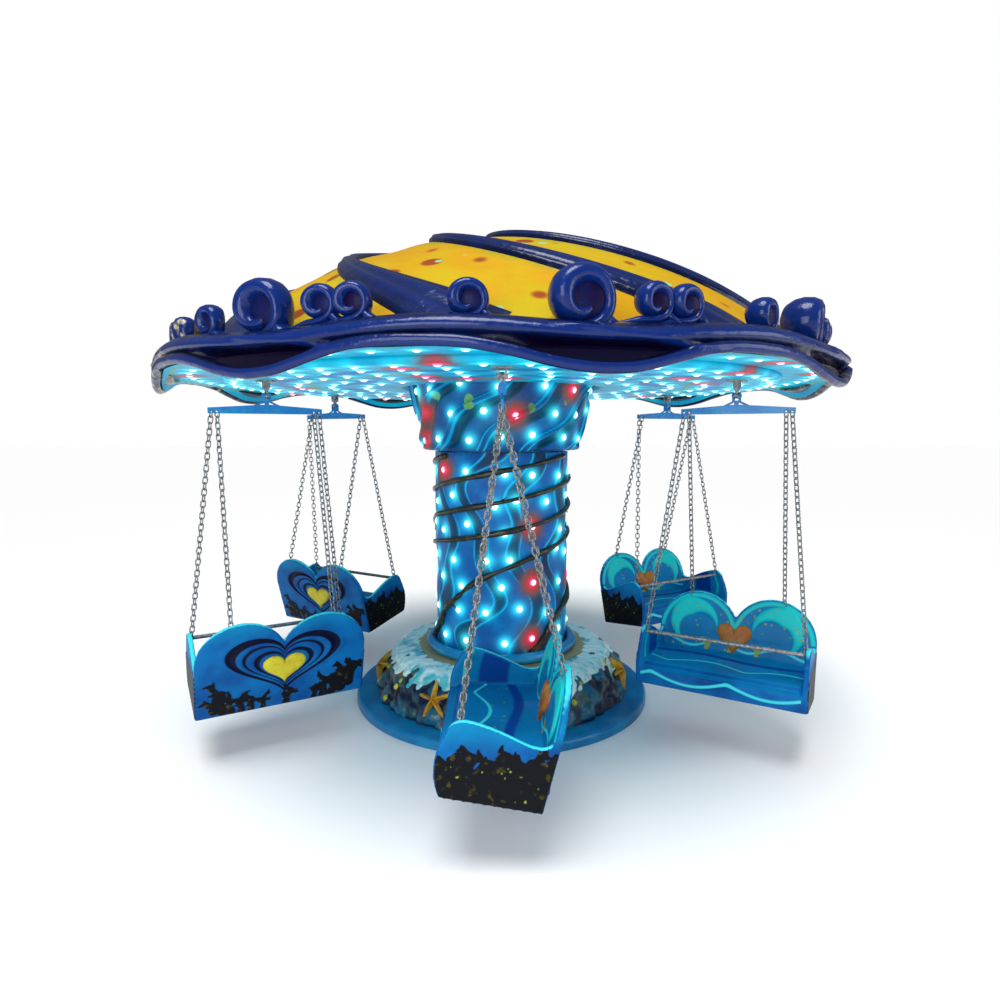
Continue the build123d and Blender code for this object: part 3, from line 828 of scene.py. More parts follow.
class Repeater(NodeBuilder):
    """Geometry Nodes that repeat a small shape, turned into plain meshes."""

    def __init__(self, name: str) -> None:
        """Start a tree with a mesh input and output."""
        super().__init__(bpy.data.node_groups.new(name, "GeometryNodeTree"))
        for way in ("INPUT", "OUTPUT"):
            self.tree.interface.new_socket("Geometry", in_out=way, socket_type="NodeSocketGeometry")
        self.start = self.tree.nodes.new("NodeGroupInput")
        self.end = self.tree.nodes.new("NodeGroupOutput")

    def size(self, name: str, value: float | int) -> None:
        """Add a named number input with its default."""
        kind = "NodeSocketInt" if isinstance(value, int) else "NodeSocketFloat"
        socket = self.tree.interface.new_socket(name, in_out="INPUT", socket_type=kind)
        socket.default_value = value

    def place(self, points: Node, shape: Node | Socket, turn: Node) -> Node:
        """Add the node that sets a shape on each point, turned by a rotation."""
        feeds = {"Points": points, "Instance": shape, "Rotation": turn}
        return self.node("GeometryNodeInstanceOnPoints", feeds)

    def close(self, geometry: Node, material: Material, weld: float = 0.0) -> None:
        """End the tree with Realize Instances, a weld where asked, and Set Material.

        Args:
            geometry: the node whose geometry is finished.
            material: the material of the result.
            weld: distance within which points are merged, or 0 for no weld.
        """
        last = self.node("GeometryNodeRealizeInstances", {0: geometry})
        if weld > 0:
            last = self.node("GeometryNodeMergeByDistance", {0: last, "Distance": weld})
        finish = self.node("GeometryNodeSetMaterial", {"Geometry": last, "Material": material})
        self.feed(finish, self.end.inputs[0])

    def bake(self, carrier: Piece, name: str, material: Material) -> Piece:
        """Run the tree on a carrier mesh and keep the result as a plain mesh.

        Args:
            carrier: object whose mesh feeds the tree; it is removed.
            name: name of the result.
            material: the material of the result.

        Returns:
            The new object, at the origin.
        """
        modifier = carrier.modifiers.new("repeat", "NODES")
        modifier.node_group = self.tree
        for item in self.tree.interface.items_tree:
            if item.in_out == "INPUT" and item.socket_type in ("NodeSocketFloat", "NodeSocketInt"):
                modifier[item.identifier] = item.default_value
        mesh = evaluated_mesh(carrier)
        mesh.name = name
        coat_mesh(mesh, material)
        carrier.modifiers.remove(modifier)
        remove_piece(carrier)
        return link_piece(name, mesh)


def repeat_round(
    single: Piece, count: int, name: str, material: Material, weld: float = 0.0
) -> Piece:
    """Repeat a mesh evenly round the axis of the ride.

    Args:
        single: the mesh at its first place; it is removed.
        count: number of copies.
        name: name of the result.
        material: the material of the result.
        weld: distance within which neighbouring copies are merged, or 0.

    Returns:
        One mesh of all the copies.
    """
    tree = Repeater(name + " round")
    tree.size("Count", count)
    tree.size("Step", TAU / count)
    points = tree.node("GeometryNodePoints", {"Count": tree.start.outputs["Count"]})
    index = tree.node("GeometryNodeInputIndex")
    angle = tree.node("ShaderNodeMath", {0: index, 1: tree.start.outputs["Step"]}, operation="MULTIPLY")
    turn = tree.node("ShaderNodeCombineXYZ", {"Z": angle})
    tree.close(tree.place(points, tree.start, turn), material, weld)
    return tree.bake(single, name, material)


def point_cloud(name: str, points: Array, outward: Array) -> Piece:
    """Return loose points that carry an outward direction as an attribute."""
    mesh = bpy.data.meshes.new(name)
    mesh.from_pydata(np.asarray(points).tolist(), [], [])
    layer = mesh.attributes.new("outward", "FLOAT_VECTOR", "POINT")
    layer.data.foreach_set("vector", np.ascontiguousarray(outward, dtype=np.float32).ravel())
    return link_piece(name, mesh)


def set_on_points(
    name: str, points: Array, outward: Array, shape: Piece, material: Material
) -> Piece:
    """Set a small shape on each point, its Z along the outward direction.

    Args:
        name: name of the result.
        points: n by 3 positions.
        outward: n by 3 directions.
        shape: the object to repeat; it is removed.
        material: the material of the result.

    Returns:
        One mesh of all the copies.
    """
    tree = Repeater(name + " layout")
    info = tree.node("GeometryNodeObjectInfo", {"Object": shape})
    direction = tree.node("GeometryNodeInputNamedAttribute", {"Name": "outward"}, data_type="FLOAT_VECTOR")
    align = tree.node("FunctionNodeAlignRotationToVector", {"Vector": direction}, axis="Z")
    spread = tree.node("GeometryNodeMeshToPoints", {0: tree.start})
    tree.close(tree.place(spread, info.outputs["Geometry"], align), material)
    piece = tree.bake(point_cloud(name + " points", points, outward), name, material)
    remove_piece(shape)
    return piece


def lens_shape(radius: float, height: float, material: Material) -> Piece:
    """Make a lamp lens on its round base, with a 'core' value that is 1 at the middle.

    Args:
        radius: the lens's radius in metres.
        height: its height in metres.
        material: its material.

    Returns:
        The lens, at the origin and facing +Z.
    """
    rings = [(1.15, -0.15), (1.15, 0.18), (0.95, 0.32), (0.72, 0.72), (0.40, 0.95)]
    sides = 10
    angle = np.linspace(0, TAU, sides, endpoint=False)
    rows = []
    for share, lift in rings:
        reach = share * radius
        level = np.full(sides, lift * height)
        rows.append(np.stack([reach * np.cos(angle), reach * np.sin(angle), level], 1))
    vertices = np.vstack(rows + [np.array([[0.0, 0.0, height]])])
    lens = new_mesh("lens", vertices, capped_faces(len(rings), sides), [material])
    paint(lens, "core", np.concatenate([np.repeat([0.0, 0.0, 0.25, 0.8, 1.0], sides), [1.0]]))
    return lens


@dataclass
class LampField:
    """Where the lamps of one surface are."""

    points: Array
    outward: Array
    pink: Array
    lens_radius: float = 0.018
    lens_height: float = 0.010
    reach: float = 0.030

    def light(self, places: Array) -> tuple[Array, Array]:
        """Return how strongly cyan and pink lamps light each place.

        Args:
            places: n by 3 positions on the surface.

        Returns:
            The cyan light and the pink light, each 0 to about 1.
        """
        cyan = np.zeros(len(places))
        pink = np.zeros(len(places))
        for point, is_pink in zip(self.points, self.pink):
            gap = np.sum((places - point) ** 2, axis=1)
            near = gap < (self.reach * 5.5) ** 2
            value = np.exp(-gap[near] / (2 * self.reach**2))
            value += 0.20 * np.exp(-gap[near] / (2 * (self.reach * 2.3) ** 2))
            (pink if is_pink else cyan)[near] += value
        return cyan, pink

    def dress(self, piece: Piece) -> None:
        """Paint the lamps' light on a surface."""
        cyan, pink = self.light(positions(piece))
        paint(piece, "glow", np.clip(cyan, 0, 1.2))
        paint(piece, "glow_pink", np.clip(pink, 0, 1.2))
        paint(piece, "shine", np.clip(0.85 * cyan + 0.55 * pink, 0, 1.3))

    def build(self, name: str, body: str, finishes: Finishes) -> None:
        """Set a lens on each place, cyan and pink apart."""
        for label, mask, material in (
            ("cyan", ~self.pink, finishes.lamp_cyan),
            ("pink", self.pink, finishes.lamp_pink),
        ):
            if not mask.any():
                continue
            lens = lens_shape(self.lens_radius, self.lens_height, material)
            lamps = set_on_points(f"{name}_{label}", self.points[mask], self.outward[mask], lens, material)
            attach(lamps, body)
            LOG.info("%s: %d lamps", lamps.name, int(mask.sum()))


@dataclass
class WaveRim:
    """The waved band round the canopy."""

    radius: float = 1.852
    top_z: float = 1.978
    cove_z: float = 1.879
    lip_z: float = 1.787
    rise_z: float = 1.874
    dome_seat: float = 1.60
    inner_radius: float = 1.548
    steps_round: int = 84
    steps_across: int = 48
    edge_knots: Pairs = (
        (-20, 1.0), (-14, 0.92), (-9, 0.62), (-5, 0.27), (-1.5, 0.06), (1.5, 0.0),
        (5, 0.1), (9, 0.45), (13, 0.82), (16.5, 0.97), (20, 1.0),
    )

    def lower_edge(self, phase: float) -> float:
        """Return the height of the lower edge at a phase of -20 to 20 degrees from a crest."""
        fine = catmull(self.edge_knots, 200)
        return self.lip_z + (self.rise_z - self.lip_z) * float(np.interp(phase, fine[:, 0], fine[:, 1]))

    def section(self, phase: float) -> Array:
        """Return the band's closed section at a phase.

        Args:
            phase: degrees from the nearest crest.

        Returns:
            n by 4: radius, height, and how much each point gets of the painted highlight on the ridges and of
                the painted shade in the hollows.
        """
        low = self.lower_edge(phase)
        eye = float(smooth_step(-10.0, -3.5, phase) * (1 - smooth_step(5.5, 12.0, phase)))
        swell = 0.5 - 0.5 * math.cos(math.radians(phase * 9 - 25))
        upper = 1.918 + 0.030 * swell
        depth = 0.008 + 0.066 * eye
        middle = (upper + low) / 2 - 0.004
        rim, cove, top = self.radius, self.cove_z, self.top_z
        knots = [
            (self.inner_radius, 1.935, 0, 0.3),
            (self.dome_seat, top - 0.004, 0, 0.2),
            (1.690, top - 0.005, 0, 0.1),
            (1.750, top - 0.012 + 0.002 * swell, 0.0, 0.1),
            (1.788, upper + 0.038, 0.1, 0.0),
            (1.822, upper + 0.024, 0.6, 0),
            (rim - 0.012, upper + 0.006, 1.0, 0),
            (rim - 0.010, upper - 0.014, 0.8, 0.0),
            (rim - 0.024 - depth * 0.45, upper - 0.032, 0.1, 0.3 + 0.5 * eye),
            (rim - 0.022 - depth, middle, 0, 0.35 + 0.65 * eye),
            (rim - 0.020 - depth * 0.6, low + 0.046, 0.1, 0.3 + 0.5 * eye),
            (rim - 0.005, low + 0.034, 0.7, 0),
            (rim - 0.001, low + 0.016, 1.0, 0),
            (rim - 0.012, low - 0.0005, 0.6, 0),
            (rim - 0.034, low + 0.006, 0, 0.3),
            (rim - 0.044, max(low + 0.020, cove - 0.030), 0, 0.6),
            (rim - 0.060, cove + 0.002, 0, 0.8),
            (1.700, cove + 0.004, 0, 0.9),
            (self.inner_radius, cove + 0.004, 0, 0.9),
        ]
        return catmull(knots, self.steps_across, closed=True)

    def swept_ridge(self, phase: Array, z: Array) -> Array:
        """Return the raised ridge that flows down from each curl into the next lip, 0 to 1."""
        line = 1.950 - 0.0042 * (phase + 4.0)
        ends = smooth_step(-5.0, -1.0, phase) * (1 - smooth_step(12.0, 18.0, phase))
        return np.exp(-(((z - line) / 0.011) ** 2)) * ends

    def build(self, finishes: Finishes) -> None:
        """Make one wave and repeat it round the rim."""
        phases = np.linspace(-WAVE_STEP / 2, WAVE_STEP / 2, self.steps_round + 1)
        sections = np.stack([self.section(p) for p in phases])
        radius, z, ridge, hollow_shade = np.moveaxis(sections, 2, 0)
        swept = self.swept_ridge(phases[:, None], z) * smooth_step(1.770, 1.800, radius)
        radius = np.minimum(radius + 0.016 * swept, self.radius - 0.001)
        points = ring_point(radius, phases[:, None] + CREST_AZIMUTH, z)
        wave = new_mesh("wave", points, grid_faces(self.steps_round + 1, self.steps_across), [finishes.rim])
        # The ridge value paints highlight on the ridges and the swept ridge; the other value paints shade in
        # the eye, the recess and the underside.
        paint(wave, "ridge", np.maximum(0.7 * ridge, 0.8 * swept))
        paint(wave, "hollow_shade", hollow_shade * (1 - swept))
        rim = repeat_round(wave, WAVES, "rim_skin", finishes.rim, weld=WELD)
        fix_solid(rim)
        paint_gilt_glints(rim)
        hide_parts("wave_rim")
        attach(rim, Body.ROTOR.value)
        LOG.info("wave rim: %d waves", WAVES)


def paint_gilt_glints(piece: Piece) -> None:
    """Paint cream and gold patches that are partly painted highlight: strongly on the left of the view,
    sparsely on the right.
    """
    places = positions(piece)
    azimuth = np.degrees(np.arctan2(places[:, 0], -places[:, 1]))
    left = smooth_step(-46.0, -56.0, azimuth) * (1 - smooth_step(-96.0, -110.0, azimuth))
    right = smooth_step(50.0, 58.0, azimuth) * (1 - smooth_step(96.0, 110.0, azimuth)) * 0.4
    outer = smooth_step(1.66, 1.74, np.hypot(places[:, 0], places[:, 1]))
    paint(piece, "gilt_glint", np.clip(left + right, 0, 1) * outer)


@dataclass
class Curl:
    """One size of rolled wave crest: a stem that rises from the rim and rolls over a ball."""

    name: str
    node: str
    radius: float
    azimuths: tuple[float, ...]
    lift: float = 0.92
    pitch: float = 1.708
    samples: int = 58
    flatten: float = 1.90
    roll: Triples = (
        (-2.4, -1.3, 0.1), (-1.6, -1.18, 0.18), (-0.8, -1.04, 0.26), (0.0, -0.98, 0.27),
        (0.56, -0.78, 0.26), (0.87, -0.38, 0.25), (0.9, 0.1, 0.26), (0.7, 0.52, 0.29),
        (0.32, 0.74, 0.33), (-0.14, 0.72, 0.37), (-0.5, 0.46, 0.41), (-0.62, 0.08, 0.42),
        (-0.52, -0.3, 0.38), (-0.2, -0.5, 0.31), (0.16, -0.42, 0.24), (0.33, -0.12, 0.19),
        (0.24, 0.16, 0.15), (0.02, 0.18, 0.12),
    )
    back: Triples = (
        (0.74, -0.42, 0.16), (0.98, -0.8, 0.26), (1.36, -1.06, 0.26), (1.85, -1.22, 0.2),
        (2.4, -1.34, 0.1),
    )

    def strand(self, knots: Sequence[Sequence[float]]) -> Shape:
        """Sweep one part of the roll, bent round the rim at the front.

        Args:
            knots: x, z and half thickness, as shares of the curl's radius.

        Returns:
            Vertices and faces.
        """
        x, z, half = (catmull(knots, self.samples) * self.radius).T
        path = np.stack([x, np.zeros_like(x), z], 1)
        vertices, faces = tube(path, half, sides=12, flatten=self.flatten, up=np.array([0.0, 1.0, 0.0]))
        return self.bent(vertices), faces

    def ball(self) -> Shape:
        """Return the ball inside the roll, bent round the rim at the front."""
        rows, columns = 11, 22
        tilt = np.linspace(0.05, math.pi - 0.05, rows)[:, None]
        around = (np.arange(columns) * TAU / columns)[None, :]
        reach = 0.86 * self.radius * np.sin(tilt)
        depth = 0.44 * self.radius * np.cos(tilt) + 0 * around
        vertices = np.stack([reach * np.cos(around) + 0.02, depth, reach * np.sin(around)], -1).reshape(-1, 3)
        faces = [list(q) for q in grid_faces(rows, columns)]
        faces += [list(range(columns))[::-1], [(rows - 1) * columns + j for j in range(columns)]]
        return self.bent(vertices), faces

    def bent(self, vertices: Array) -> Array:
        """Bend points from a flat front plane onto the rim, x along it and y outward of it."""
        angle = vertices[:, 0] / self.pitch
        radius = np.minimum(self.pitch + vertices[:, 1], 1.846)
        height = vertices[:, 2] + RIM_TOP_Z + self.radius * self.lift
        height = np.maximum(height, RIM_TOP_Z - 0.030)
        return np.stack([radius * np.sin(angle), -radius * np.cos(angle), height], 1)

    def build(self, finishes: Finishes) -> None:
        """Make every curl of this size as one piece, and their dark cores as another."""
        strands = merge_shapes([self.strand(self.roll), self.strand(self.back)])
        for name, (vertices, faces), material in (
            (self.name, strands, finishes.rim),
            (self.name + "_core", self.ball(), finishes.core),
        ):
            shapes = [(turned(vertices, azimuth), faces) for azimuth in self.azimuths]
            single = new_mesh("curl", *merge_shapes(shapes), [material])
            piece = repeat_round(single, WAVES, name, material)
            fix_solid(piece)
            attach(piece, Body.ROTOR.value)
            if material is finishes.rim:
                # The curls take the painted ridge highlight all over.
                paint(piece, "ridge", np.full(len(piece.data.vertices), 0.75))
                paint_gilt_glints(piece)
                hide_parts(self.node)
        LOG.info("%s: %d", self.name, len(self.azimuths) * WAVES)


@dataclass
class Roof:
    """The yellow dome and its swirled ribs."""

    seat_radius: float = 1.640
    base_z: float = 1.980
    rise: float = 0.660
    rib_height: float = 0.045
    foot_width: float = 0.235
    tip_width: float = 0.058
    tip_radius: float = 0.190
    twist: float = 97.7
    foot_azimuth: float = -3.6

    def height(self, radius: Array) -> Array:
        """Return the dome's height at a radius."""
        sphere = (self.seat_radius**2 + self.rise**2) / (2 * self.rise)
        return self.base_z + self.rise - sphere + np.sqrt(np.maximum(sphere**2 - radius**2, 0))

    def rib_azimuth(self, radius: Array) -> Array:
        """Return the azimuth of the first rib's middle at a radius."""
        share = (self.seat_radius + 0.012 - radius) / (self.seat_radius - self.tip_radius)
        return self.foot_azimuth - self.twist * share

    def build_dome(self, finishes: Finishes) -> None:
        """Make the dome skin, slightly sunk between its ribs."""
        rows, columns = 60, 288
        radius = np.linspace(0.02, self.seat_radius, rows)[:, None]
        azimuth = full_turn(columns)
        offset = (azimuth - self.rib_azimuth(radius) + WAVE_STEP / 2) % WAVE_STEP - WAVE_STEP / 2
        gap = np.abs(np.radians(offset)) * radius
        between = smooth_step(0.06, 0.30, gap) * smooth_step(0.25, 0.9, radius)
        between = between * (1 - smooth_step(1.45, 1.64, radius))
        z = self.height(radius) - 0.004 - 0.012 * between
        points = ring_point(radius, azimuth, z)
        vertices = np.vstack([points.reshape(-1, 3), [[0, 0, float(self.height(np.array(0.0)))]]])
        faces = [list(q) for q in grid_faces(rows, columns)]
        top = len(vertices) - 1
        faces += [[(j + 1) % columns, j, top][::-1] for j in range(columns)]
        dome = new_mesh("roof_skin", vertices, [f[::-1] for f in faces], [finishes.dome])
        edge = 0.5 * (1 - smooth_step(0.10, 0.16, gap)) * smooth_step(0.55, 1.0, radius)
        paint(dome, "edge", np.append(edge, 0.0))
        fix_outward(dome)
        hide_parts("dome")
        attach(dome, Body.ROTOR.value)

    def build_ribs(self, finishes: Finishes) -> None:
        """Make one swirled rib and repeat it round the roof."""
        steps, across = 70, 17
        share = np.linspace(0, 1, steps)
        radius = self.seat_radius + 0.055 - (self.seat_radius + 0.055 - self.tip_radius) * share
        width = self.tip_width + (self.foot_width - self.tip_width) * (1 - share) ** 4
        centre = ring_point(radius, self.rib_azimuth(radius), 0.0)[:, :2]
        run = np.gradient(centre, axis=0)
        run /= np.linalg.norm(run, axis=1, keepdims=True)
        side = np.stack([-run[:, 1], run[:, 0]], 1)
        turn = np.linspace(0, math.pi, across)
        flat = centre[:, None, :] + side[:, None, :] * (np.cos(turn)[None, :] * width[:, None] / 2)[..., None]
        crest = np.where((turn > 0.01) & (turn < math.pi - 0.01), np.abs(np.sin(turn)) ** 0.6, 0.0)
        crest *= 1.0 - 0.25 * np.cos(turn * 4) ** 2
        lift = self.rib_height * smooth_step(-0.01, 0.09, share) * (1 - 0.35 * share)
        reach = np.minimum(np.hypot(flat[..., 0], flat[..., 1]), self.seat_radius)
        z = self.height(reach) - 0.006 + (lift[:, None] + 0.004) * crest[None, :]
        points = np.concatenate([flat, z[..., None]], -1)
        single = new_mesh("rib", points, grid_faces(steps, across, close_columns=False), [finishes.rim])
        # Painted highlight along the top of each rib.
        paint(single, "ridge", np.tile(crest * 0.6, steps))
        ribs = repeat_round(single, WAVES, "roof_rib_skin", finishes.rim)
        fix_outward(ribs)
        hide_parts("dome_ribs")
        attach(ribs, Body.ROTOR.value)

    def build_crown(self, finishes: Finishes) -> None:
        """Make the swirled crown in which the ribs end."""
        rows, columns, reach = 10, 72, 0.215
        radius = np.linspace(0.001, reach, rows)[:, None]
        azimuth = full_turn(columns)
        swirl = 0.5 + 0.5 * np.cos(np.radians((azimuth + 160 * radius / reach) * WAVES / 3))
        dome = np.cos(np.clip(radius / reach, 0, 1) * math.pi / 2) ** 0.5
        z = self.height(radius) + 0.040 * dome - 0.008 * swirl * (radius / reach)
        points = ring_point(radius, azimuth, z).reshape(-1, 3)
        vertices = np.vstack([points, [[0, 0, points[0, 2]]]])
        faces = [list(q) for q in grid_faces(rows, columns)]
        faces += [[(j + 1) % columns, j, rows * columns] for j in range(columns)]
        crown = new_mesh("crown_skin", vertices, faces, [finishes.rim])
        # Painted highlight, strongest at the top of the crown and fading outward.
        paint(crown, "ridge", np.append(np.repeat(np.linspace(0.5, 0.1, rows), columns), 0.5))
        fix_outward(crown)
        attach(crown, Body.ROTOR.value)

    def build(self, finishes: Finishes) -> None:
        """Make the roof."""
        self.build_dome(finishes)
        self.build_ribs(finishes)
        self.build_crown(finishes)
        LOG.info("roof: dome and %d ribs", WAVES)


@dataclass
class Underside:
    """The soffit and its lamps."""

    soffit_z: float = 1.850
    recess_z: float = 1.912
    recess_radius: float = 0.590
    soffit_radius: float = 1.530
    cove_z: float = 1.879
    thickness: float = 0.010
    lamp_rings: tuple[tuple[float, int], ...] = (
        (1.490, 54), (1.345, 44), (1.165, 38), (0.985, 32), (0.790, 26), (1.690, 62),
    )

    def lamps(self) -> LampField:
        """Return the lamps on the flat of the soffit and in the cove of the rim."""
        points, pink = [], []
        rng = np.random.default_rng(SEED)
        for index, (radius, count) in enumerate(self.lamp_rings):
            azimuth = np.arange(count) * 360.0 / count + 4.0 + index * 3
            if abs(radius - HOOK_RADIUS) < 0.06:
                azimuth = azimuth[np.abs((azimuth + 30) % 60 - 30) > 4.0]
            height = self.soffit_z if radius < self.soffit_radius else self.cove_z + 0.001
            points.append(ring_point(radius, azimuth, height - 0.0005))
            pink.append(rng.random(len(azimuth)) < 0.10)
        stacked = np.vstack(points)
        outward = np.tile([0.0, 0.0, -1.0], (len(stacked), 1))
        return LampField(stacked, outward, np.concatenate(pink))

    def profile(self) -> Array:
        """Return the soffit's closed section as radius and height."""
        low, high, step = self.soffit_z, self.recess_z, self.thickness
        rows = [(0.17, high), (0.40, high), (self.recess_radius, high)]
        rows += [(self.recess_radius, low + 0.004), (self.recess_radius + 0.004, low)]
        rows += [(radius, low) for radius in np.arange(0.62, self.soffit_radius - 0.005, 0.0165)]
        edge, rim_z = self.soffit_radius, self.cove_z + 0.002
        rows += [(edge, low), (edge + 0.010, low + 0.012), (edge + 0.015, rim_z), (edge + 0.005, rim_z)]
        rows += [(edge - step, low + step), (0.60, low + step), (0.60, high + step), (0.17, high + step)]
        return np.array(rows)

    def build(self, finishes: Finishes) -> None:
        """Make the soffit skin with its painted bands, its lamps and the cove."""
        rows, columns = self.profile(), 432
        azimuth = full_turn(columns)
        points = ring_point(rows[:, :1], azimuth, rows[:, 1:])
        faces = grid_faces(len(rows), columns, close_rows=True)
        soffit = new_mesh("soffit_skin", points, faces, [finishes.soffit])
        fix_solid(soffit)
        places = positions(soffit)
        radius = np.hypot(places[:, 0], places[:, 1])
        angle = np.degrees(np.arctan2(places[:, 0], -places[:, 1]))
        sweep = np.sin(np.radians(angle * 9 + radius * 260)) * 0.05
        band = np.minimum(np.abs(radius - 1.24 - sweep) - 0.055, np.abs(radius - 0.93 + sweep) - 0.05)
        line = np.minimum(np.abs(radius - 1.455) - 0.010, np.abs(radius - 1.30 - sweep) - 0.006)
        paint(soffit, "band", band)
        paint(soffit, "line", line)
        paint(soffit, "spot", np.abs(radius - 1.10 - sweep * 0.6) - 0.012)
        lamps = self.lamps()
        lamps.dress(soffit)
        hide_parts("soffit")
        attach(soffit, Body.ROTOR.value)
        self.build_cove(finishes, lamps)
        lamps.build("soffit_lamps", Body.ROTOR.value, finishes)

    def cove_section(self, rim: WaveRim, phase: float) -> Array:
        """Return the lining's section at a phase of the waves, as radius and height."""
        drop = min(rim.lower_edge(phase) + 0.014, rim.cove_z - 0.004)
        knots = [(1.546, 1.8785), (1.62, 1.8780), (1.70, 1.8770), (1.76, 1.876 - (1.876 - drop) * 0.12)]
        return catmull([*knots, (1.790, 1.872 - (1.872 - drop) * 0.45), (1.806, drop)], 18)

    def build_cove(self, finishes: Finishes, lamps: LampField) -> None:
        """Make one wave of the lit lining behind the rim's lip, and repeat it round.

        Args:
            finishes: the materials.
            lamps: the lamps whose light falls on the lining.
        """
        rim = WaveRim()
        phases = np.linspace(-WAVE_STEP / 2, WAVE_STEP / 2, 61)
        sections = np.stack([self.cove_section(rim, float(phase)) for phase in phases])
        points = ring_point(sections[..., 0], phases[:, None] + CREST_AZIMUTH, sections[..., 1])
        faces = grid_faces(len(phases), points.shape[1], close_columns=False)
        wave = new_mesh("cove wave", points, faces, [finishes.soffit])
        cove = repeat_round(wave, WAVES, "cove_skin", finishes.soffit, weld=WELD)
        fix_outward(cove, (0.0, 0.0, 4.0))
        radius = np.hypot(*positions(cove)[:, :2].T)
        paint(cove, "band", np.full(len(radius), 1.0))
        paint(cove, "line", np.abs(radius - 1.60) - 0.008)
        paint(cove, "spot", np.abs(radius - 1.77) - 0.008)
        lamps.dress(cove)
        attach(cove, Body.ROTOR.value)
        LOG.info("soffit and cove")


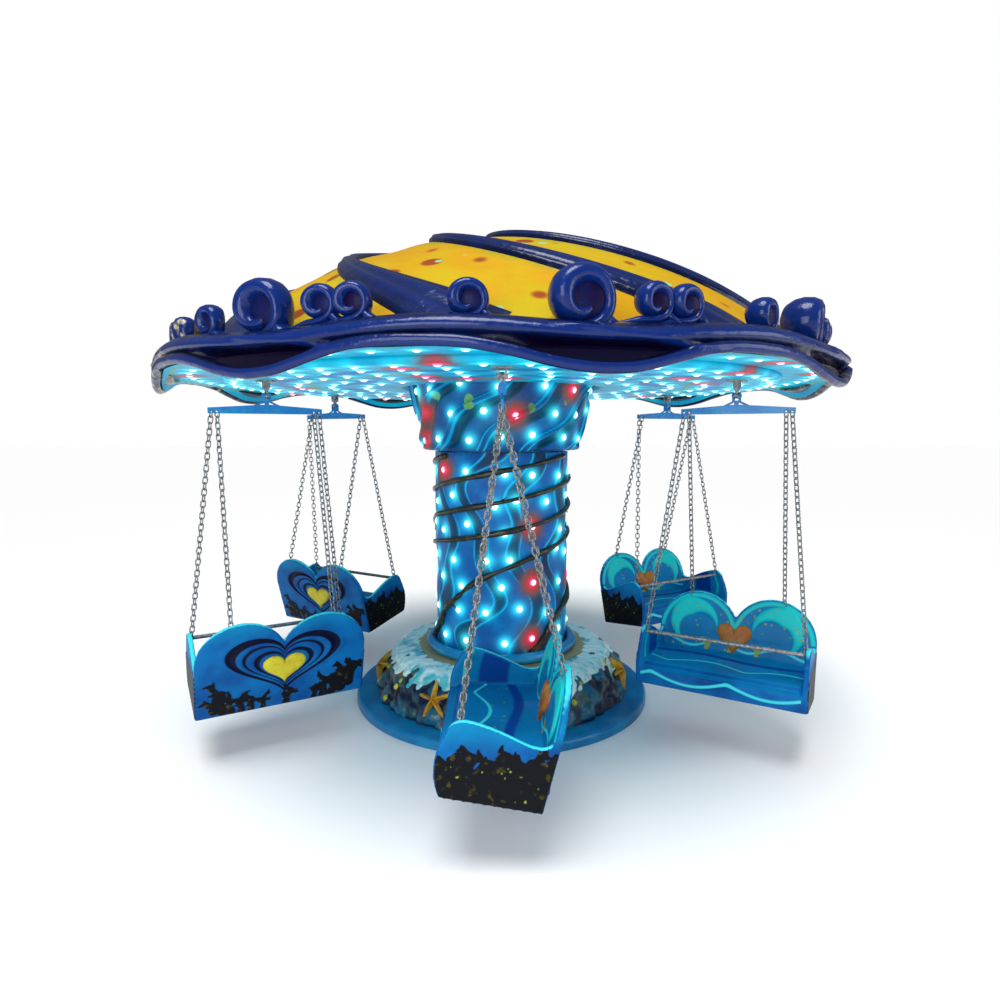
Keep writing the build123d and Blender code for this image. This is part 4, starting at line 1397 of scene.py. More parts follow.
@dataclass
class Column:
    """The round column with its water streaks, vines and lamps."""

    radius: float = 0.400
    foot_z: float = 0.300
    top_z: float = 1.480
    vine_radius: float = 0.016
    vine_lead: float = 0.490
    root_rate: float = 150.0
    vine_turns: Pairs = ((0.880, -92.0), (0.653, 18.0), (1.070, 138.0))
    lamp_foot_z: float = 0.430
    lamp_row_step: float = 0.157
    lamp_rows: int = 7
    lamp_count: int = 13
    ring_major: float = 0.430
    ring_minor: float = 0.030
    ring_z: float = 0.330

    def vine_azimuth(self, z: Array, index: int) -> Array:
        """Return the azimuth of one vine at a height: steep at its root, then a steady climb.

        Args:
            z: heights in metres.
            index: which vine.

        Returns:
            Azimuths in degrees, unwrapped.
        """
        turn_z, root = self.vine_turns[index]
        steady = 360.0 / self.vine_lead
        above = np.logaddexp(0.0, (z - turn_z) / 0.05) * 0.05
        return root + self.root_rate * (z - self.foot_z) + (steady - self.root_rate) * above

    def vine_gap(self, azimuth: Array, z: Array) -> Array:
        """Return how far a place on the column is from the nearest vine, along the surface in metres."""
        gap = np.full(np.broadcast(azimuth, z).shape, np.inf)
        for index in range(len(self.vine_turns)):
            offset = (azimuth - self.vine_azimuth(z, index) + 180.0) % 360.0 - 180.0
            gap = np.minimum(gap, np.abs(np.radians(offset)) * self.radius)
        return gap

    def relief(self, azimuth: Array, z: Array) -> tuple[Array, Array, Array]:
        """Return the bands, lines and swelling of the surface.

        Args:
            azimuth: degrees.
            z: heights in metres.

        Returns:
            Signed distance to the dark bands, to the fine lines, and the swelling in metres.
        """
        wander = 11.0 * np.sin(z * 7.0 + np.radians(azimuth) * 2) + 6.0 * np.sin(z * 15.0 + 1.3)
        around = (azimuth + wander) % 36.0 - 18.0
        metres = np.radians(around) * self.radius
        width = 0.028 + 0.017 * np.sin(z * 9.0 + np.radians(azimuth) * 3)
        band = np.abs(metres) - width
        line = np.abs(np.abs(metres) - width - 0.014) - 0.004
        swell = 0.006 * np.cos(np.radians(around * 10.0))
        return band, line, swell

    def lamps(self) -> LampField:
        """Return staggered rows of lamps, each pushed clear of the vines."""
        points, outward, pink = [], [], []
        rng = np.random.default_rng(SEED + 3)
        for row in range(self.lamp_rows):
            for index in range(self.lamp_count):
                azimuth = (index + 0.5 * (row % 2)) * 360.0 / self.lamp_count + rng.uniform(-3.0, 3.0)
                z = self.lamp_foot_z + row * self.lamp_row_step + rng.uniform(-0.030, 0.030)
                lifts, turns = (0, 0.03, -0.03), (0, 5, -5, 10, -10)
                tries = [(azimuth + turn, z + lift) for lift in lifts for turn in turns]
                gaps = [min(float(self.vine_gap(np.array(a), np.array(h))), 0.055) for a, h in tries]
                azimuth, z = tries[int(np.argmax(gaps))]
                points.append(ring_point(self.radius, azimuth, z))
                outward.append(ring_point(1.0, azimuth, 0.0))
                pink.append(rng.random() < 0.14)
        return LampField(np.array(points), np.array(outward), np.array(pink))

    def build(self, finishes: Finishes) -> None:
        """Make the column's skin, vines, foot ring and lamps."""
        rows, columns = 132, 300
        z = np.linspace(self.foot_z, self.top_z, rows)[:, None]
        azimuth = full_turn(columns)
        band, line, swell = self.relief(azimuth, z)
        dent = 0.004 * np.exp(-((self.vine_gap(azimuth, z) / 0.05) ** 2))
        points = ring_point(self.radius - 0.006 + swell - dent, azimuth, z)
        skin = new_mesh("column_skin", points, grid_faces(rows, columns), [finishes.column])
        fix_outward(skin, (0.0, 0.0, 0.9))
        paint(skin, "band", band)
        paint(skin, "line", line)
        paint(skin, "spot", np.full(band.size, 1.0))
        lamps = self.lamps()
        lamps.dress(skin)
        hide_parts("column")
        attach(skin, Body.BASE.value)
        lamps.build("column_lamps", Body.BASE.value, finishes)
        self.build_vines(finishes)
        self.build_ring(finishes)

    def build_vines(self, finishes: Finishes) -> None:
        """Wind the vines up the column, thick at the root and with small tendrils."""
        shapes = []
        rng = np.random.default_rng(SEED + 5)
        start = self.foot_z + 0.040
        z = np.linspace(start, self.top_z - 0.018, 170)
        for index in range(len(self.vine_turns)):
            wobble = 2.2 * np.sin(z * 17 + index * 2.1) + 1.4 * np.sin(z * 31 + index)
            azimuth = self.vine_azimuth(z, index) + wobble
            swelling = 0.80 * np.exp(-(z - start) / 0.12) + 0.18 * np.sin(z * 43 + index)
            swelling = swelling + 0.12 * np.sin(z * 97)
            path = ring_point(self.radius + 0.004, azimuth, z)
            shapes.append(tube(path, self.vine_radius * (0.92 + swelling), sides=8))
            for foot in rng.integers(8, 140, 4):
                length = rng.uniform(0.04, 0.08)
                steps = np.linspace(0, 1, 9)
                lean = rng.choice([-1.0, 1.0])
                twig_azimuth = azimuth[foot] + np.degrees(length * steps / self.radius)
                twig_z = z[foot] + lean * length * 0.5 * steps**1.4
                twig = ring_point(self.radius + 0.002, twig_azimuth, twig_z)
                shapes.append(tube(twig, 0.008 * (1 - 0.75 * steps), sides=6))
        vines = new_mesh("vine_skin", *merge_shapes(shapes), [finishes.vine])
        fix_solid(vines)
        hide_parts("vines")
        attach(vines, Body.BASE.value)
        LOG.info("vines: %d", len(self.vine_turns))

    def build_ring(self, finishes: Finishes) -> None:
        """Make the rounded moulding at the column's foot."""
        rows, columns = 20, 160
        turn = np.arange(rows)[:, None] * TAU / rows
        azimuth = full_turn(columns)
        ripple = 0.98 + 0.06 * np.sin(np.radians(azimuth * 14)) * np.sin(turn)
        radius = self.ring_major + self.ring_minor * np.cos(turn) * ripple
        points = ring_point(radius, azimuth, self.ring_z + self.ring_minor * np.sin(turn))
        ring = new_mesh("foot_ring_skin", points, grid_faces(rows, columns, close_rows=True), [finishes.deck])
        fix_solid(ring)
        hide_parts("foot_ring")
        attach(ring, Body.BASE.value)


@dataclass
class Capital:
    """The flared, carved drum under the canopy."""

    bottom_z: float = 1.490
    top_z: float = 1.912
    profile: Pairs = (
        (0.400, 1.4905), (0.440, 1.4905), (0.466, 1.498), (0.472, 1.530), (0.478, 1.560), (0.491, 1.640),
        (0.505, 1.720), (0.521, 1.790), (0.540, 1.860), (0.556, 1.888), (0.558, 1.911),
    )
    lamp_rows: Pairs = ((1.562, 0.480), (1.700, 0.503), (1.838, 0.533))
    lamp_count: int = 16
    bubbles: int = 18

    def build(self, finishes: Finishes) -> None:
        """Make the carved skin and its lamps."""
        rows, columns = 84, 360
        curve = catmull(self.profile, rows)
        radius, z = curve[:, :1], curve[:, 1:]
        azimuth = full_turn(columns)
        lean = (z - self.bottom_z) / (self.top_z - self.bottom_z)
        sway = 5.0 * np.sin(lean * 6 + np.radians(azimuth * 3))
        metres = np.radians((azimuth - 62.0 * lean + sway) % 36.0 - 18.0) * radius
        body = smooth_step(0.03, 0.14, lean) * (1 - smooth_step(0.90, 1.0, lean))
        ridge = np.exp(-((metres / 0.026) ** 2)) - 0.8 * np.exp(-(((metres - 0.070) / 0.034) ** 2))
        points = ring_point(radius + (0.026 * ridge - 0.008) * body, azimuth, z)
        places = points.reshape(-1, 3)
        skin = new_mesh("capital_skin", places, grid_faces(rows, columns), [finishes.capital])
        fix_outward(skin, (0.0, 0.0, 1.75))
        paint(skin, "band", np.abs(metres - 0.082) - 0.044 + 0.03 * (1 - body))
        paint(skin, "line", np.abs(np.abs(metres) - 0.024) - 0.006)
        rng = np.random.default_rng(SEED + 9)
        spot = np.full(len(places), 1.0)
        for index in range(self.bubbles):
            azimuth = index * 360.0 / self.bubbles + rng.uniform(-6, 6)
            centre = ring_point(0.51, azimuth, rng.uniform(1.58, 1.80))
            offset = (places - centre) * np.array([1.0, 1.0, 0.62])
            spot = np.minimum(spot, np.linalg.norm(offset, axis=1) - rng.uniform(0.020, 0.032))
        paint(skin, "spot", spot)
        lamps = self.lamps()
        lamps.dress(skin)
        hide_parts("capital")
        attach(skin, Body.ROTOR.value)
        lamps.build("capital_lamps", Body.ROTOR.value, finishes)
        LOG.info("capital")

    def lamps(self) -> LampField:
        """Return staggered lamps that follow the flare."""
        points, outward, pink = [], [], []
        rng = np.random.default_rng(SEED + 11)
        for row, (z, radius) in enumerate(self.lamp_rows):
            for index in range(self.lamp_count):
                azimuth = (index + 0.5 * (row % 2)) * 360.0 / self.lamp_count + rng.uniform(-3, 3)
                points.append(ring_point(radius, azimuth, z + rng.uniform(-0.02, 0.02)))
                outward.append(ring_point(1.0, azimuth, -0.12))
                pink.append(rng.random() < 0.16)
        return LampField(np.array(points), np.array(outward), np.array(pink))


@dataclass
class Plinth:
    """The reef round the column's foot."""

    profile: Pairs = (
        (0.783, 0.052), (0.778, 0.090), (0.762, 0.140), (0.725, 0.200), (0.685, 0.250),
        (0.640, 0.288), (0.590, 0.299), (0.520, 0.300), (0.440, 0.299), (0.396, 0.299),
    )
    starfish: int = 7
    star_radius: float = 0.108
    star_place: tuple[float, float] = (0.722, 0.180)
    bubbles: int = 34
    foam_knobs: int = 90

    def build_reef(self, finishes: Finishes) -> None:
        """Make the rough drum: rocks on its flank, foam over its edge, a flat ledge inside."""
        rows, columns = 72, 420
        curve = catmull(self.profile, rows)
        radius, z = curve[:, :1], curve[:, 1:]
        azimuth = full_turn(columns)
        flat = ring_point(radius, azimuth, z).reshape(-1, 3)
        lumps = waves_noise(flat, 0.26, 21, 3).reshape(rows, columns)
        creases = np.abs(waves_noise(flat, 0.17, 22, 2)).reshape(rows, columns)
        chips = np.abs(waves_noise(flat, 0.11, 24, 2)).reshape(rows, columns)
        drip = waves_noise(flat * [1, 1, 0.35], 0.15, 23, 2).reshape(rows, columns)
        flank = 1 - smooth_step(0.24, 0.30, z)
        edge = smooth_step(0.47, 0.55, radius) * smooth_step(0.215, 0.265, z + 0.055 * drip)
        depth = (0.012 * lumps - 0.026 * (0.6 - creases) - 0.014) * flank
        points = ring_point(radius + depth + 0.006 * edge * flank, azimuth, z - 0.005 * (1 - chips) * edge)
        reef = new_mesh("reef_skin", points, grid_faces(rows, columns), [finishes.rock])
        fix_outward(reef, (0.0, 0.0, 0.0))
        # The relief value is low in the creases and near the floor, where the reef gets painted shade.
        foot = 1 - smooth_step(0.052, 0.085, z + 0.02 * lumps)
        paint(reef, "relief", lumps * 0.6 + creases - 0.4 - foot)
        paint(reef, "foam", np.clip(edge * (0.55 + 0.9 * chips), 0, 1))
        ledge = 1 - smooth_step(0.49, 0.56, radius + 0.03 * lumps)
        paint(reef, "sand", ledge)
        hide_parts("plinth")
        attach(reef, Body.BASE.value)

    def star(self, finishes: Finishes) -> Piece:
        """Return one soft, slim-armed starfish lying at the front of the flank."""
        rings, columns = 10, 60
        share = np.linspace(0, 1, rings)[:, None]
        angle = (np.arange(columns) * TAU / columns)[None, :]
        reach = self.star_radius * (0.22 + 0.78 * (0.5 + 0.5 * np.cos(angle * 5)) ** 3.2) * share
        crest = 0.030 * (1 - share**1.5) * (0.55 + 0.45 * np.cos(angle * 5)) + 0.012 * (1 - share**3)
        flat = np.stack([reach * np.cos(angle), reach * np.sin(angle), crest], -1).reshape(-1, 3)
        outward = Vector(ring_point(1.0, 22.0, 0.55)).normalized()
        turn = np.array(outward.to_track_quat("Z", "Y").to_matrix() @ Matrix.Rotation(0.5, 3, "Z"))
        place = ring_point(self.star_place[0], 22.0, self.star_place[1])
        return new_mesh("star", flat @ turn.T + place, grid_faces(rings, columns), [finishes.starfish])

    def build_life(self, finishes: Finishes) -> None:
        """Set starfish, bubbles and foam knobs on the reef."""
        stars = repeat_round(self.star(finishes), self.starfish, "starfish_skin", finishes.starfish)
        fix_outward(stars, (0.0, 0.0, 0.0))
        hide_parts("starfish")
        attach(stars, Body.BASE.value)
        rng = np.random.default_rng(SEED + 15)
        for name, material, count, size, low in (
            ("reef_bubbles", finishes.bubble, self.bubbles, 0.016, 0.10),
            ("reef_foam", finishes.foam, self.foam_knobs, 0.020, 0.86),
        ):
            azimuth = rng.uniform(0, 360, count)
            share = rng.uniform(low, low + 0.14 if low > 0.5 else 0.9, count)
            points = ring_point(0.775 - 0.150 * share**1.5, azimuth, 0.075 + 0.205 * share)
            outward = ring_point(np.ones(count), azimuth, np.full(count, 0.6))
            knob = lens_shape(size, size * 0.8, material)
            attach(set_on_points(name, points, outward, knob, material), Body.BASE.value)

    def build(self, finishes: Finishes) -> None:
        """Make the plinth."""
        self.build_reef(finishes)
        self.build_life(finishes)
        LOG.info("plinth with %d starfish", self.starfish)


@dataclass
class Seats:
    """Six moulded double seats with their chains."""

    pitch: float = 0.029
    wire: float = 0.0032
    link_long: float = 0.0190
    link_wide: float = 0.0112
    voxel: float = 0.0062
    heart_z: float = 0.442
    heart_width: float = 0.205
    heart_depth: float = 0.016
    front_heart_width: float = 0.180
    front_heart_z: float = 0.478
    back_lean_deg: float = 14.6
    back_foot: tuple[float, float] = (0.146, 0.235)
    back_thickness: float = 0.031
    back_weeds: Weeds = (
        (-0.325, 0.275, 0.15, 1), (-0.285, 0.258, 0.13, 2), (-0.245, 0.252, 0.12, 3),
        (-0.200, 0.250, 0.11, 6), (-0.155, 0.250, 0.10, 9), (-0.100, 0.248, 0.09, 10),
        (0.010, 0.248, 0.12, 5), (0.150, 0.250, 0.10, 7), (0.195, 0.254, 0.14, 8),
        (0.240, 0.262, 0.15, 4), (0.285, 0.275, 0.17, 12), (0.325, 0.300, 0.17, 13),
    )
    side_weeds: Weeds = (
        (-0.175, 0.375, 0.12, 11), (-0.120, 0.365, 0.15, 12), (-0.060, 0.355, 0.13, 13),
        (0.000, 0.345, 0.15, 14), (0.060, 0.340, 0.13, 15), (0.115, 0.335, 0.16, 16),
    )
    pan_weeds: Weeds = (
        (-0.120, 0.405, 0.07, 31), (0.020, 0.405, 0.06, 32), (0.140, 0.405, 0.07, 33),
    )
    chain_runs: tuple[tuple[float, float, float, float], ...] = (
        (0.258, 0.380, -0.150, 0.572), (0.231, 0.240, 0.232, 0.698),
    )
    chain_top_z: float = 1.683

    def moulded_shell(self, blank: Piece) -> Piece:
        """Return the first seat's solid as a soft, evenly divided mesh.

        Args:
            blank: the frame's object for the first seat; it is left as it is.

        Returns:
            The new mesh object.
        """
        joined = bmesh.new()
        joined.from_mesh(blank.data)
        bmesh.ops.remove_doubles(joined, verts=joined.verts, dist=WELD)
        mesh = bpy.data.meshes.new("seat_blank")
        joined.to_mesh(mesh)
        joined.free()
        work = link_piece("seat_blank", mesh)
        remesh = work.modifiers.new("even", "REMESH")
        remesh.mode = "VOXEL"
        remesh.voxel_size = self.voxel
        soften = work.modifiers.new("soften", "SMOOTH")
        soften.factor = 0.5
        soften.iterations = 12
        soft = evaluated_mesh(work)
        remove_piece(work)
        return link_piece("seat_master", soft)

    def ring_level(self, flat: Array) -> Array:
        """Return 0 on the small heart's outline and 1 on the outermost ring, rising between them.

        Args:
            flat: positions across and up the back.

        Returns:
            One level for each position, -1 inside the heart.
        """
        outline = heart_outline(1.0, 180)
        bearing = np.arctan2(outline[:, 1], outline[:, 0])
        order = np.argsort(bearing)
        far = np.hypot(*outline.T)[order]
        steps = np.linspace(0.0, 1.2, 30)
        gauges = []
        for step in steps:
            wide, tall = self.heart_width + 0.36 * step, 0.172 + 0.185 * step
            x = flat[:, 0] / wide
            y = (flat[:, 1] - self.heart_z - 0.026 * step) / tall
            reach = np.interp(np.arctan2(y, x), bearing[order], far, period=TAU)
            gauges.append(np.hypot(x, y) / reach)
        stack = np.stack(gauges)
        count = (stack > 1.0).sum(axis=0)
        index = np.clip(count, 1, len(steps) - 1)[None]
        before = np.take_along_axis(stack, index - 1, 0)[0]
        after = np.take_along_axis(stack, index, 0)[0]
        share = np.clip((before - 1.0) / np.maximum(before - after, 1e-6), 0, 1)
        level = steps[index[0] - 1] + share * (steps[1] - steps[0])
        return np.where(count == 0, -1.0, np.where(count == len(steps), 2.0, level))

    def weeds(self, flat: Array, roots: Weeds, lean: float = 1.2) -> Array:
        """Return the signed distance to a row of weeds, given as across, foot, height and seed."""
        nearest = np.full(len(flat), 1.0)
        for across, foot, height, seed in roots:
            strokes, widths = branch_strokes((across, foot), height, seed, lean)
            nearest = np.minimum(nearest, stroke_distance(flat, strokes, widths))
        return nearest

    def patterns(self, points: Array, facing: Array) -> tuple[dict[str, Array], Array]:
        """Work out the seat's reliefs and painted areas.

        Args:
            points: the seat's points in place at the front.
            facing: their normals.

        Returns:
            The named paint values, and how far each point moves along its normal.
        """
        across, x, z = points[:, 1] + HOOK_RADIUS, points[:, 0], points[:, 2]
        flat, side_flat = np.stack([across, z], 1), np.stack([x, z], 1)
        outer_back = facing[:, 0] > 0.75
        inner_back = (facing[:, 0] < -0.75) & (x > 0.05)
        apron = (facing[:, 0] < -0.6) & (x < -0.12) & (np.abs(across) < 0.38)
        sideways = np.abs(facing[:, 1]) > 0.8
        outside = sideways & (np.abs(across) > 0.392)
        inside = sideways & ~outside
        pan_top = (facing[:, 2] > 0.8) & (np.abs(across) < 0.38) & (z < 0.45)
        lit_top_edge = (facing[:, 2] > 0.45) & (z > 0.44)
        none = np.full(len(points), 1.0)

        ring = np.where(outer_back, self.ring_level(flat), -1.0)
        ridges = sum(np.exp(-(((ring - middle) / 0.085) ** 2)) for middle in (0.155, 0.47, 0.82))
        shift = np.where(outer_back & (ring > -0.5), 0.004 - 0.009 * ridges * (ring < 1.15), 0.0)
        shift *= 1 - smooth_step(1.0, 1.15, ring)

        back_weed = np.where(outer_back, self.weeds(flat, self.back_weeds), 1.0)
        spikes = z - 0.440 - 0.020 * np.sin(x * 75) - 0.014 * np.sin(x * 31 + 1.0)
        side_weed = np.where(outside, np.minimum(self.weeds(side_flat, self.side_weeds), spikes), 1.0)
        weed = np.minimum(back_weed, side_weed)
        level = np.max(np.abs(facing), axis=1)
        shift += 0.006 * (1 - smooth_step(-0.004, 0.004, weed)) * smooth_step(0.86, 0.99, level)

        crescent, edge_band = none, none
        for side in (-1.0, 1.0):
            centre = flat - [side * 0.205, 0.525]
            ring_gap = np.hypot(centre[:, 0], centre[:, 1] * 1.05)
            turn = np.degrees(np.arctan2(centre[:, 1], centre[:, 0] * side))
            fade = np.clip(1 - np.abs((turn - 62 + 180) % 360 - 180) / 125, 0, 1)
            crescent = np.minimum(crescent, np.abs(ring_gap - 0.112) - 0.056 * fade + 0.004)
            edge = flat - [side * 0.195, 0.492]
            edge_band = np.minimum(edge_band, np.abs(np.hypot(*edge.T) - 0.194) - 0.009)
        crescent = np.where(inner_back, crescent, 1.0)
        cyan = np.minimum(crescent, np.where(inner_back & (z > 0.50), edge_band, 1.0))
        cyan = np.minimum(cyan, np.where(inside, np.abs(x + 0.155 - 0.02 * np.sin(z * 24)) - 0.008, 1.0))
        shift += 0.008 * (1 - smooth_step(-0.012, 0.006, crescent))

        scroll = 0.384 - 0.046 * np.sqrt(np.sin(across * 8.4 + 0.4) ** 2 + 0.02)
        scroll_gap = np.where(apron, np.abs(z - scroll) - 0.007, 1.0)
        low_wave = np.where(inner_back, np.abs(z - 0.436 - 0.018 * np.sin(across * 21)) - 0.006, 1.0)
        swirl = -0.135 + 0.085 * np.sqrt(np.sin(across * 8.2 + 0.9) ** 2 + 0.02)
        pale = np.minimum(scroll_gap, np.minimum(low_wave, np.where(pan_top, np.abs(x - swirl) - 0.007, 1.0)))
        # Painted highlight on the upward faces of the top edges.
        pale = np.minimum(pale, np.where(lit_top_edge, 0.004 - 0.02 * (facing[:, 2] - 0.45), 1.0))
        shift += 0.006 * (1 - smooth_step(-0.004, 0.012, scroll_gap))

        rng = np.random.default_rng(SEED + 20)
        speck = none
        for _ in range(46):
            place = np.array([rng.uniform(-0.34, 0.34), rng.uniform(0.415, 0.66)])
            speck = np.minimum(speck, np.hypot(*(flat - place).T) - rng.uniform(0.003, 0.007))
        speck = np.where(inner_back, np.minimum(speck, self.weeds(flat, self.pan_weeds)), 1.0)
        for _ in range(30):
            place = np.array([rng.uniform(-0.13, 0.05), rng.uniform(-0.34, 0.34)])
            spot = np.hypot(x - place[0], across - place[1]) - rng.uniform(0.002, 0.005)
            speck = np.minimum(speck, np.where(pan_top, spot, 1.0))
        for _ in range(14):
            place = np.array([rng.uniform(-0.20, 0.16), rng.uniform(0.27, 0.42)])
            stretch = [rng.uniform(0.5, 1.6), 1.0]
            spot = np.hypot(*((side_flat - place) * stretch).T) - rng.uniform(0.002, 0.005)
            speck = np.minimum(speck, np.where(outside, spot, 1.0))

        deep = np.where(inside, np.abs(x + 0.010 - 0.030 * np.sin(z * 11.0)) - 0.070, 1.0)
        trough = np.where(pan_top, np.abs(x - 0.050 - 0.025 * np.sin(across * 9.0)) - 0.022, 1.0)
        deep = np.minimum(deep, trough)
        tint = np.where(inner_back, 0.35, 0.0) + np.where(outside, 0.45 * smooth_step(0.46, 0.56, z), 0.0)
        # Painted highlight along the top of the outer back.
        crest_highlight = np.where(outer_back, 0.40 * smooth_step(0.60, 0.70, z), 0.0)
        tint += crest_highlight + np.where(inside | pan_top, 0.35, 0.0)
        values = {
            "ring": ring, "weed": weed, "cyan": cyan, "pale": pale,
            "speck": speck, "deep": deep, "tint": np.clip(tint, 0, 1),
        }
        return values, shift

    def build_shells(self, blank: Piece, finishes: Finishes) -> None:
        """Carve and paint the shell once, and place it six times.

        Args:
            blank: the frame's object for the first seat.
            finishes: the materials.
        """
        master = self.moulded_shell(blank)
        values, shift = self.patterns(positions(master), normals(master))
        carved = positions(master) + normals(master) * shift[:, None]
        low, high = (np.array(corner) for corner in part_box("shell_1"))
        carved = np.clip(carved, low - 0.002, high + 0.002)
        move_points(master, carved)
        mesh = master.data
        coat_mesh(mesh, finishes.seat)
        for key, value in values.items():
            paint(master, key, value)
        for seat in range(SEATS):
            shell = link_piece(f"seat_skin_{seat + 1}", mesh.copy())
            move_points(shell, turned(carved, seat * SEAT_STEP))
            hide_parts(f"shell_{seat + 1}")
            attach(shell, f"seat_{seat + 1}")
        remove_piece(master)
        LOG.info("seat shells: %d, %d points each", SEATS, len(carved))

    def heart_shape(self, width: float, depth: float, columns: int = 56) -> Shape:
        """Return a pillow-shaped heart in the YZ plane, facing +X."""
        outline = heart_outline(width, columns)
        rings = [(1.0, -0.004), (1.0, 0.25 * depth), (0.93, 0.72 * depth)]
        rings += [(0.72, 0.95 * depth), (0.40, depth)]
        rows = [
            np.stack([np.full(columns, lift), outline[:, 0] * share, outline[:, 1] * share], 1)
            for share, lift in rings
        ]
        vertices = np.vstack(rows + [np.array([[depth, 0.0, 0.0]])])
        return vertices, capped_faces(len(rings), columns)

    def build_hearts(self, finishes: Finishes) -> None:
        """Set the raised hearts on the back and the front of each backrest."""
        lean = math.radians(self.back_lean_deg)
        tilt = np.array(Matrix.Rotation(lean, 3, "Y"))
        foot_x, foot_z = self.back_foot
        face = foot_x + (self.heart_z - foot_z) * math.tan(lean)
        front_face = foot_x + (self.front_heart_z - foot_z) * math.tan(lean) - self.back_thickness
        outer, faces = self.heart_shape(self.heart_width, self.heart_depth)
        inner, _ = self.heart_shape(self.front_heart_width, self.heart_depth + 0.002)
        middle = np.array([[0.13, -HOOK_RADIUS, self.heart_z]])
        for seat in range(SEATS):
            for name, shape, x, z, material in (
                ("back_heart", outer * [1, 1, 0.82], face, self.heart_z, finishes.heart),
                ("front_heart", inner * [-1, 1, 1], front_face, self.front_heart_z, finishes.heart_rust),
            ):
                placed = turned(shape @ tilt.T + np.array([x, -HOOK_RADIUS, z]), seat * SEAT_STEP)
                heart = new_mesh(f"{name}_{seat + 1}", placed, faces, [material])
                fix_outward(heart, turned(middle, seat * SEAT_STEP)[0])
                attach(heart, f"seat_{seat + 1}")
                if name == "back_heart":
                    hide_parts(f"hearts_{seat + 1}")

    def link_shape(self, material: Material) -> Piece:
        """Return one oval chain link with its length along Z."""
        steps, sides = 14, 5
        turn = np.linspace(0, TAU, steps, endpoint=False)
        straight = (self.link_long - self.link_wide) * np.sign(np.cos(turn))
        across, along = self.link_wide * np.sin(turn), self.link_wide * np.cos(turn) + straight
        path = np.stack([across, 0 * turn, along], 1)
        following = np.roll(path, -1, axis=0) - np.roll(path, 1, axis=0)
        following /= np.linalg.norm(following, axis=1, keepdims=True)
        side = np.cross(following, [0.0, 1.0, 0.0])
        angle = np.linspace(0, TAU, sides, endpoint=False)[None, :, None]
        rings = self.wire * (side[:, None, :] * np.cos(angle) + np.array([0.0, 1.0, 0.0]) * np.sin(angle))
        faces = grid_faces(steps, sides, close_rows=True)
        link = new_mesh("chain_link", path[:, None, :] + rings, faces, [material])
        fix_solid(link)
        return link

    def chain_tree(self, shape: Piece, material: Material) -> Repeater:
        """Lay out links along an edge, each turned a quarter from the last.

        Args:
            shape: one link with its length along Z.
            material: the material of the chain.

        Returns:
            The layout, ready to be run on a carrier mesh.
        """
        tree = Repeater("chain layout")
        tree.size("Pitch", self.pitch)
        curve = tree.node("GeometryNodeMeshToCurve", {0: tree.start})
        spacing = {"Curve": curve, "Length": tree.start.outputs["Pitch"]}
        spaced = tree.node("GeometryNodeResampleCurve", spacing, mode="LENGTH")
        info = tree.node("GeometryNodeObjectInfo", {"Object": shape})
        tangent = tree.node("GeometryNodeInputTangent")
        align = tree.node("FunctionNodeAlignRotationToVector", {"Vector": tangent}, axis="Z")
        index = tree.node("GeometryNodeInputIndex")
        quarter = tree.node("ShaderNodeMath", {0: index, 1: math.pi / 2}, operation="MULTIPLY")
        spin = tree.node("FunctionNodeAxisAngleToRotation", {"Axis": (0.0, 0.0, 1.0), "Angle": quarter})
        both = {"Rotation": align, "Rotate By": spin}
        turn = tree.node("FunctionNodeRotateRotation", both, rotation_space="LOCAL")
        tree.close(tree.place(spaced, info.outputs["Geometry"], turn), material)
        return tree

    def runs(self) -> Array:
        """Return the ends of the front seat's four chains, two rows for each chain."""
        ends = []
        for hole, foot, x, z in self.chain_runs:
            for side in (-1.0, 1.0):
                ends.append([0.0, -HOOK_RADIUS + side * hole, self.chain_top_z])
                ends.append([x, -HOOK_RADIUS + side * foot, z])
        return np.array(ends)

    def build_chains(self, finishes: Finishes) -> None:
        """String the chains of each seat."""
        link = self.link_shape(finishes.steel)
        tree = self.chain_tree(link, finishes.steel)
        ends = self.runs()
        edges = [(2 * i, 2 * i + 1) for i in range(len(ends) // 2)]
        for seat in range(SEATS):
            mesh = bpy.data.meshes.new("chain runs")
            mesh.from_pydata(turned(ends, seat * SEAT_STEP).tolist(), edges, [])
            chain = tree.bake(link_piece("chain runs", mesh), f"chain_links_{seat + 1}", finishes.steel)
            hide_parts(f"chains_{seat + 1}")
            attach(chain, f"seat_{seat + 1}")
        remove_piece(link)
        LOG.info("chains: %d seats", SEATS)

    def build(self, blank: Piece, finishes: Finishes) -> None:
        """Make the seats from the frame's first seat."""
        self.build_shells(blank, finishes)
        self.build_hearts(finishes)
        self.build_chains(finishes)


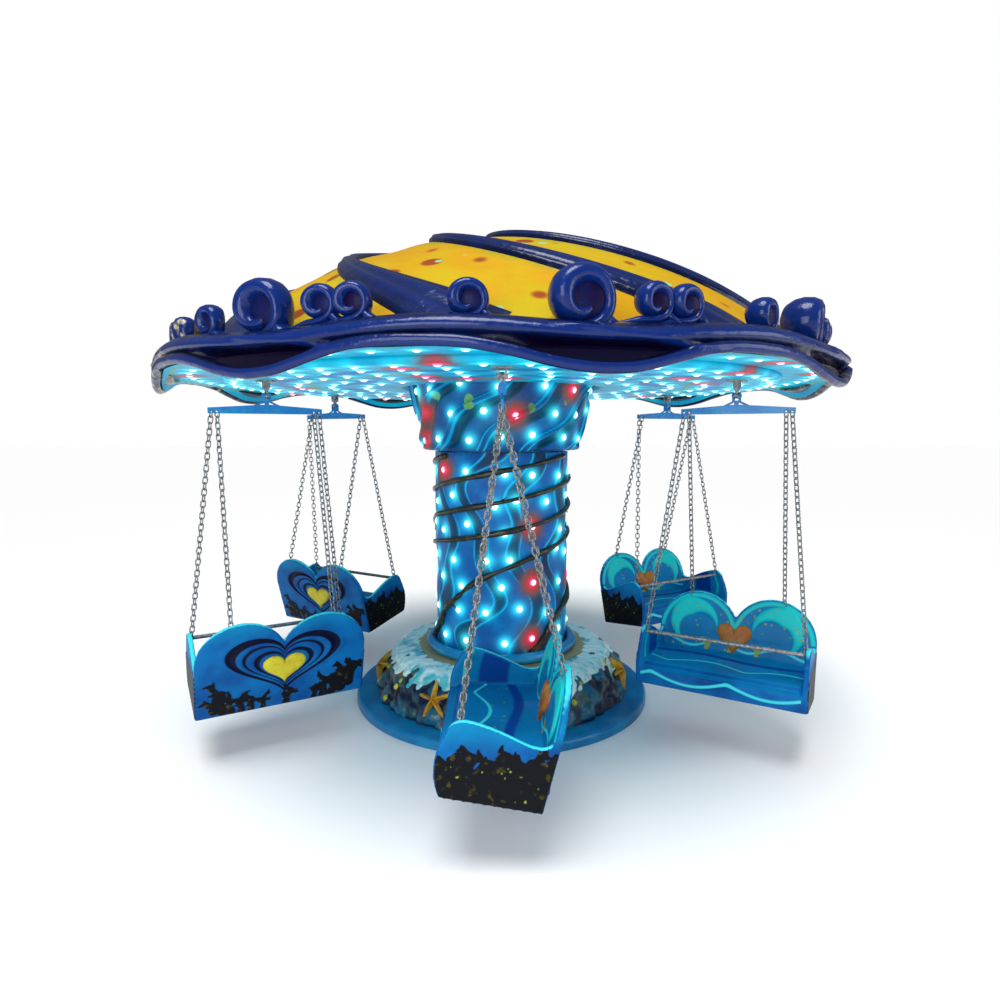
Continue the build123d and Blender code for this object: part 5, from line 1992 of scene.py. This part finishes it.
@dataclass
class Studio:
    """Floor, light and camera."""

    lens: float = 23.374
    place: tuple[float, float, float] = (-0.008, -3.940, 1.601)
    pitch_deg: float = 83.93

    def build(self) -> None:
        """Make the studio."""
        scene = bpy.context.scene
        scene.view_settings.view_transform = "Standard"
        camera_data = bpy.data.cameras.new("view")
        camera_data.lens = self.lens
        camera_data.sensor_width = 36.0
        camera = link_piece("view", camera_data)
        camera.location = self.place
        camera.rotation_euler = (math.radians(self.pitch_deg), 0.0, 0.0)
        scene.camera = camera
        self.build_floor()
        self.build_lights()
        self.build_world()

    def build_floor(self) -> None:
        """Make a pale floor that keeps soft shadows."""
        shader = Shader("studio floor")
        path = shader.node("ShaderNodeLightPath")
        looks = {
            "Base Color": (0.80, 0.80, 0.80), "Roughness": 0.9, "Specular IOR Level": 0.0,
            "Emission Color": (1.0, 1.0, 1.0),
            "Emission Strength": shader.product(path.outputs["Is Camera Ray"], FLOOR_GLOW),
        }
        for name, value in looks.items():
            shader.feed(value, shader.bsdf.inputs[name])
        corners = [(-60, -60, -0.001), (60, -60, -0.001), (60, 60, -0.001), (-60, 60, -0.001)]
        new_mesh("studio_floor", np.array(corners), [[0, 1, 2, 3]], [shader.material], smooth=False)

    def add_lamp(self, name: str, kind: str, power: float, place: Vector, toward: Vector) -> bpy.types.Light:
        """Add one lamp.

        Args:
            name: its name.
            kind: SUN or AREA.
            power: its energy.
            place: where it is.
            toward: the direction in which it shines.

        Returns:
            The lamp's data.
        """
        data = bpy.data.lights.new(name, kind)
        data.energy = power
        lamp = link_piece(name, data)
        lamp.location = place
        lamp.rotation_euler = toward.to_track_quat("-Z", "Y").to_euler()
        return data

    def build_lights(self) -> None:
        """Light the ride with one soft sun high in front and two wide fills."""
        self.add_lamp("sun", "SUN", 2.6, Vector(), Vector((0.14, 0.26, -1.25))).angle = math.radians(34)
        for name, place, power in (("front", (-2.0, -6.0, 2.6), 130.0), ("right", (5.5, -2.5, 3.0), 80.0)):
            toward = Vector((0.0, 0.0, 1.0)) - Vector(place)
            self.add_lamp(name, "AREA", power, Vector(place), toward).size = 3.0

    def build_world(self) -> None:
        """Make a white surround that lights the ride gently."""
        world = bpy.data.worlds.new("studio")
        bpy.context.scene.world = world
        world.use_nodes = True
        builder = NodeBuilder(world.node_tree)
        path = builder.node("ShaderNodeLightPath")
        fill = {"Value": path.outputs["Is Glossy Ray"], "To Min": 0.32, "To Max": 0.16}
        dimmed = builder.node("ShaderNodeMapRange", fill)
        seen = {"Value": path.outputs["Is Camera Ray"], "To Min": dimmed, "To Max": 1.0}
        share = builder.node("ShaderNodeMapRange", seen)
        background = world.node_tree.nodes["Background"]
        builder.feed((1.0, 1.0, 1.0), background.inputs["Color"])
        builder.feed(share, background.inputs["Strength"])


def dress_nodes(nodes: dict[str, Piece], finishes: Finishes) -> None:
    """Give the CAD nodes that stay their finishes.

    Args:
        nodes: the frame's objects by name.
        finishes: the materials.
    """
    looks = {
        "floor_plate": finishes.deck, "turning_frame": finishes.frame,
        "bearing": finishes.steel, "brackets": finishes.steel,
    }
    for seat in range(1, SEATS + 1):
        looks[f"link_{seat}"] = finishes.steel
        looks[f"beam_{seat}"] = finishes.beam
        looks[f"lap_bar_{seat}"] = finishes.steel
    for name, material in looks.items():
        for slot in nodes[name].material_slots:
            slot.material = material
    LOG.info("dressed %d frame nodes", len(looks))


def main() -> None:
    """Build the ride's looks in order."""
    logging.basicConfig(level=logging.INFO, format="%(message)s")
    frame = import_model()
    finishes = Finishes()
    Studio().build()
    dress_nodes(frame["nodes"], finishes)
    WaveRim().build(finishes)
    Curl("big_curl_skin", "big_curls", 0.106, (8.8,), lift=0.62).build(finishes)
    Curl("paired_curl_skin", "paired_curls", 0.064, (17.9, 22.2), lift=1.05).build(finishes)
    Curl("single_curl_skin", "single_curls", 0.065, (-4.0,)).build(finishes)
    Roof().build(finishes)
    Underside().build(finishes)
    Capital().build(finishes)
    Column().build(finishes)
    Plinth().build(finishes)
    Seats().build(frame["nodes"]["shell_1"], finishes)


if __name__ == "__main__":
    main()
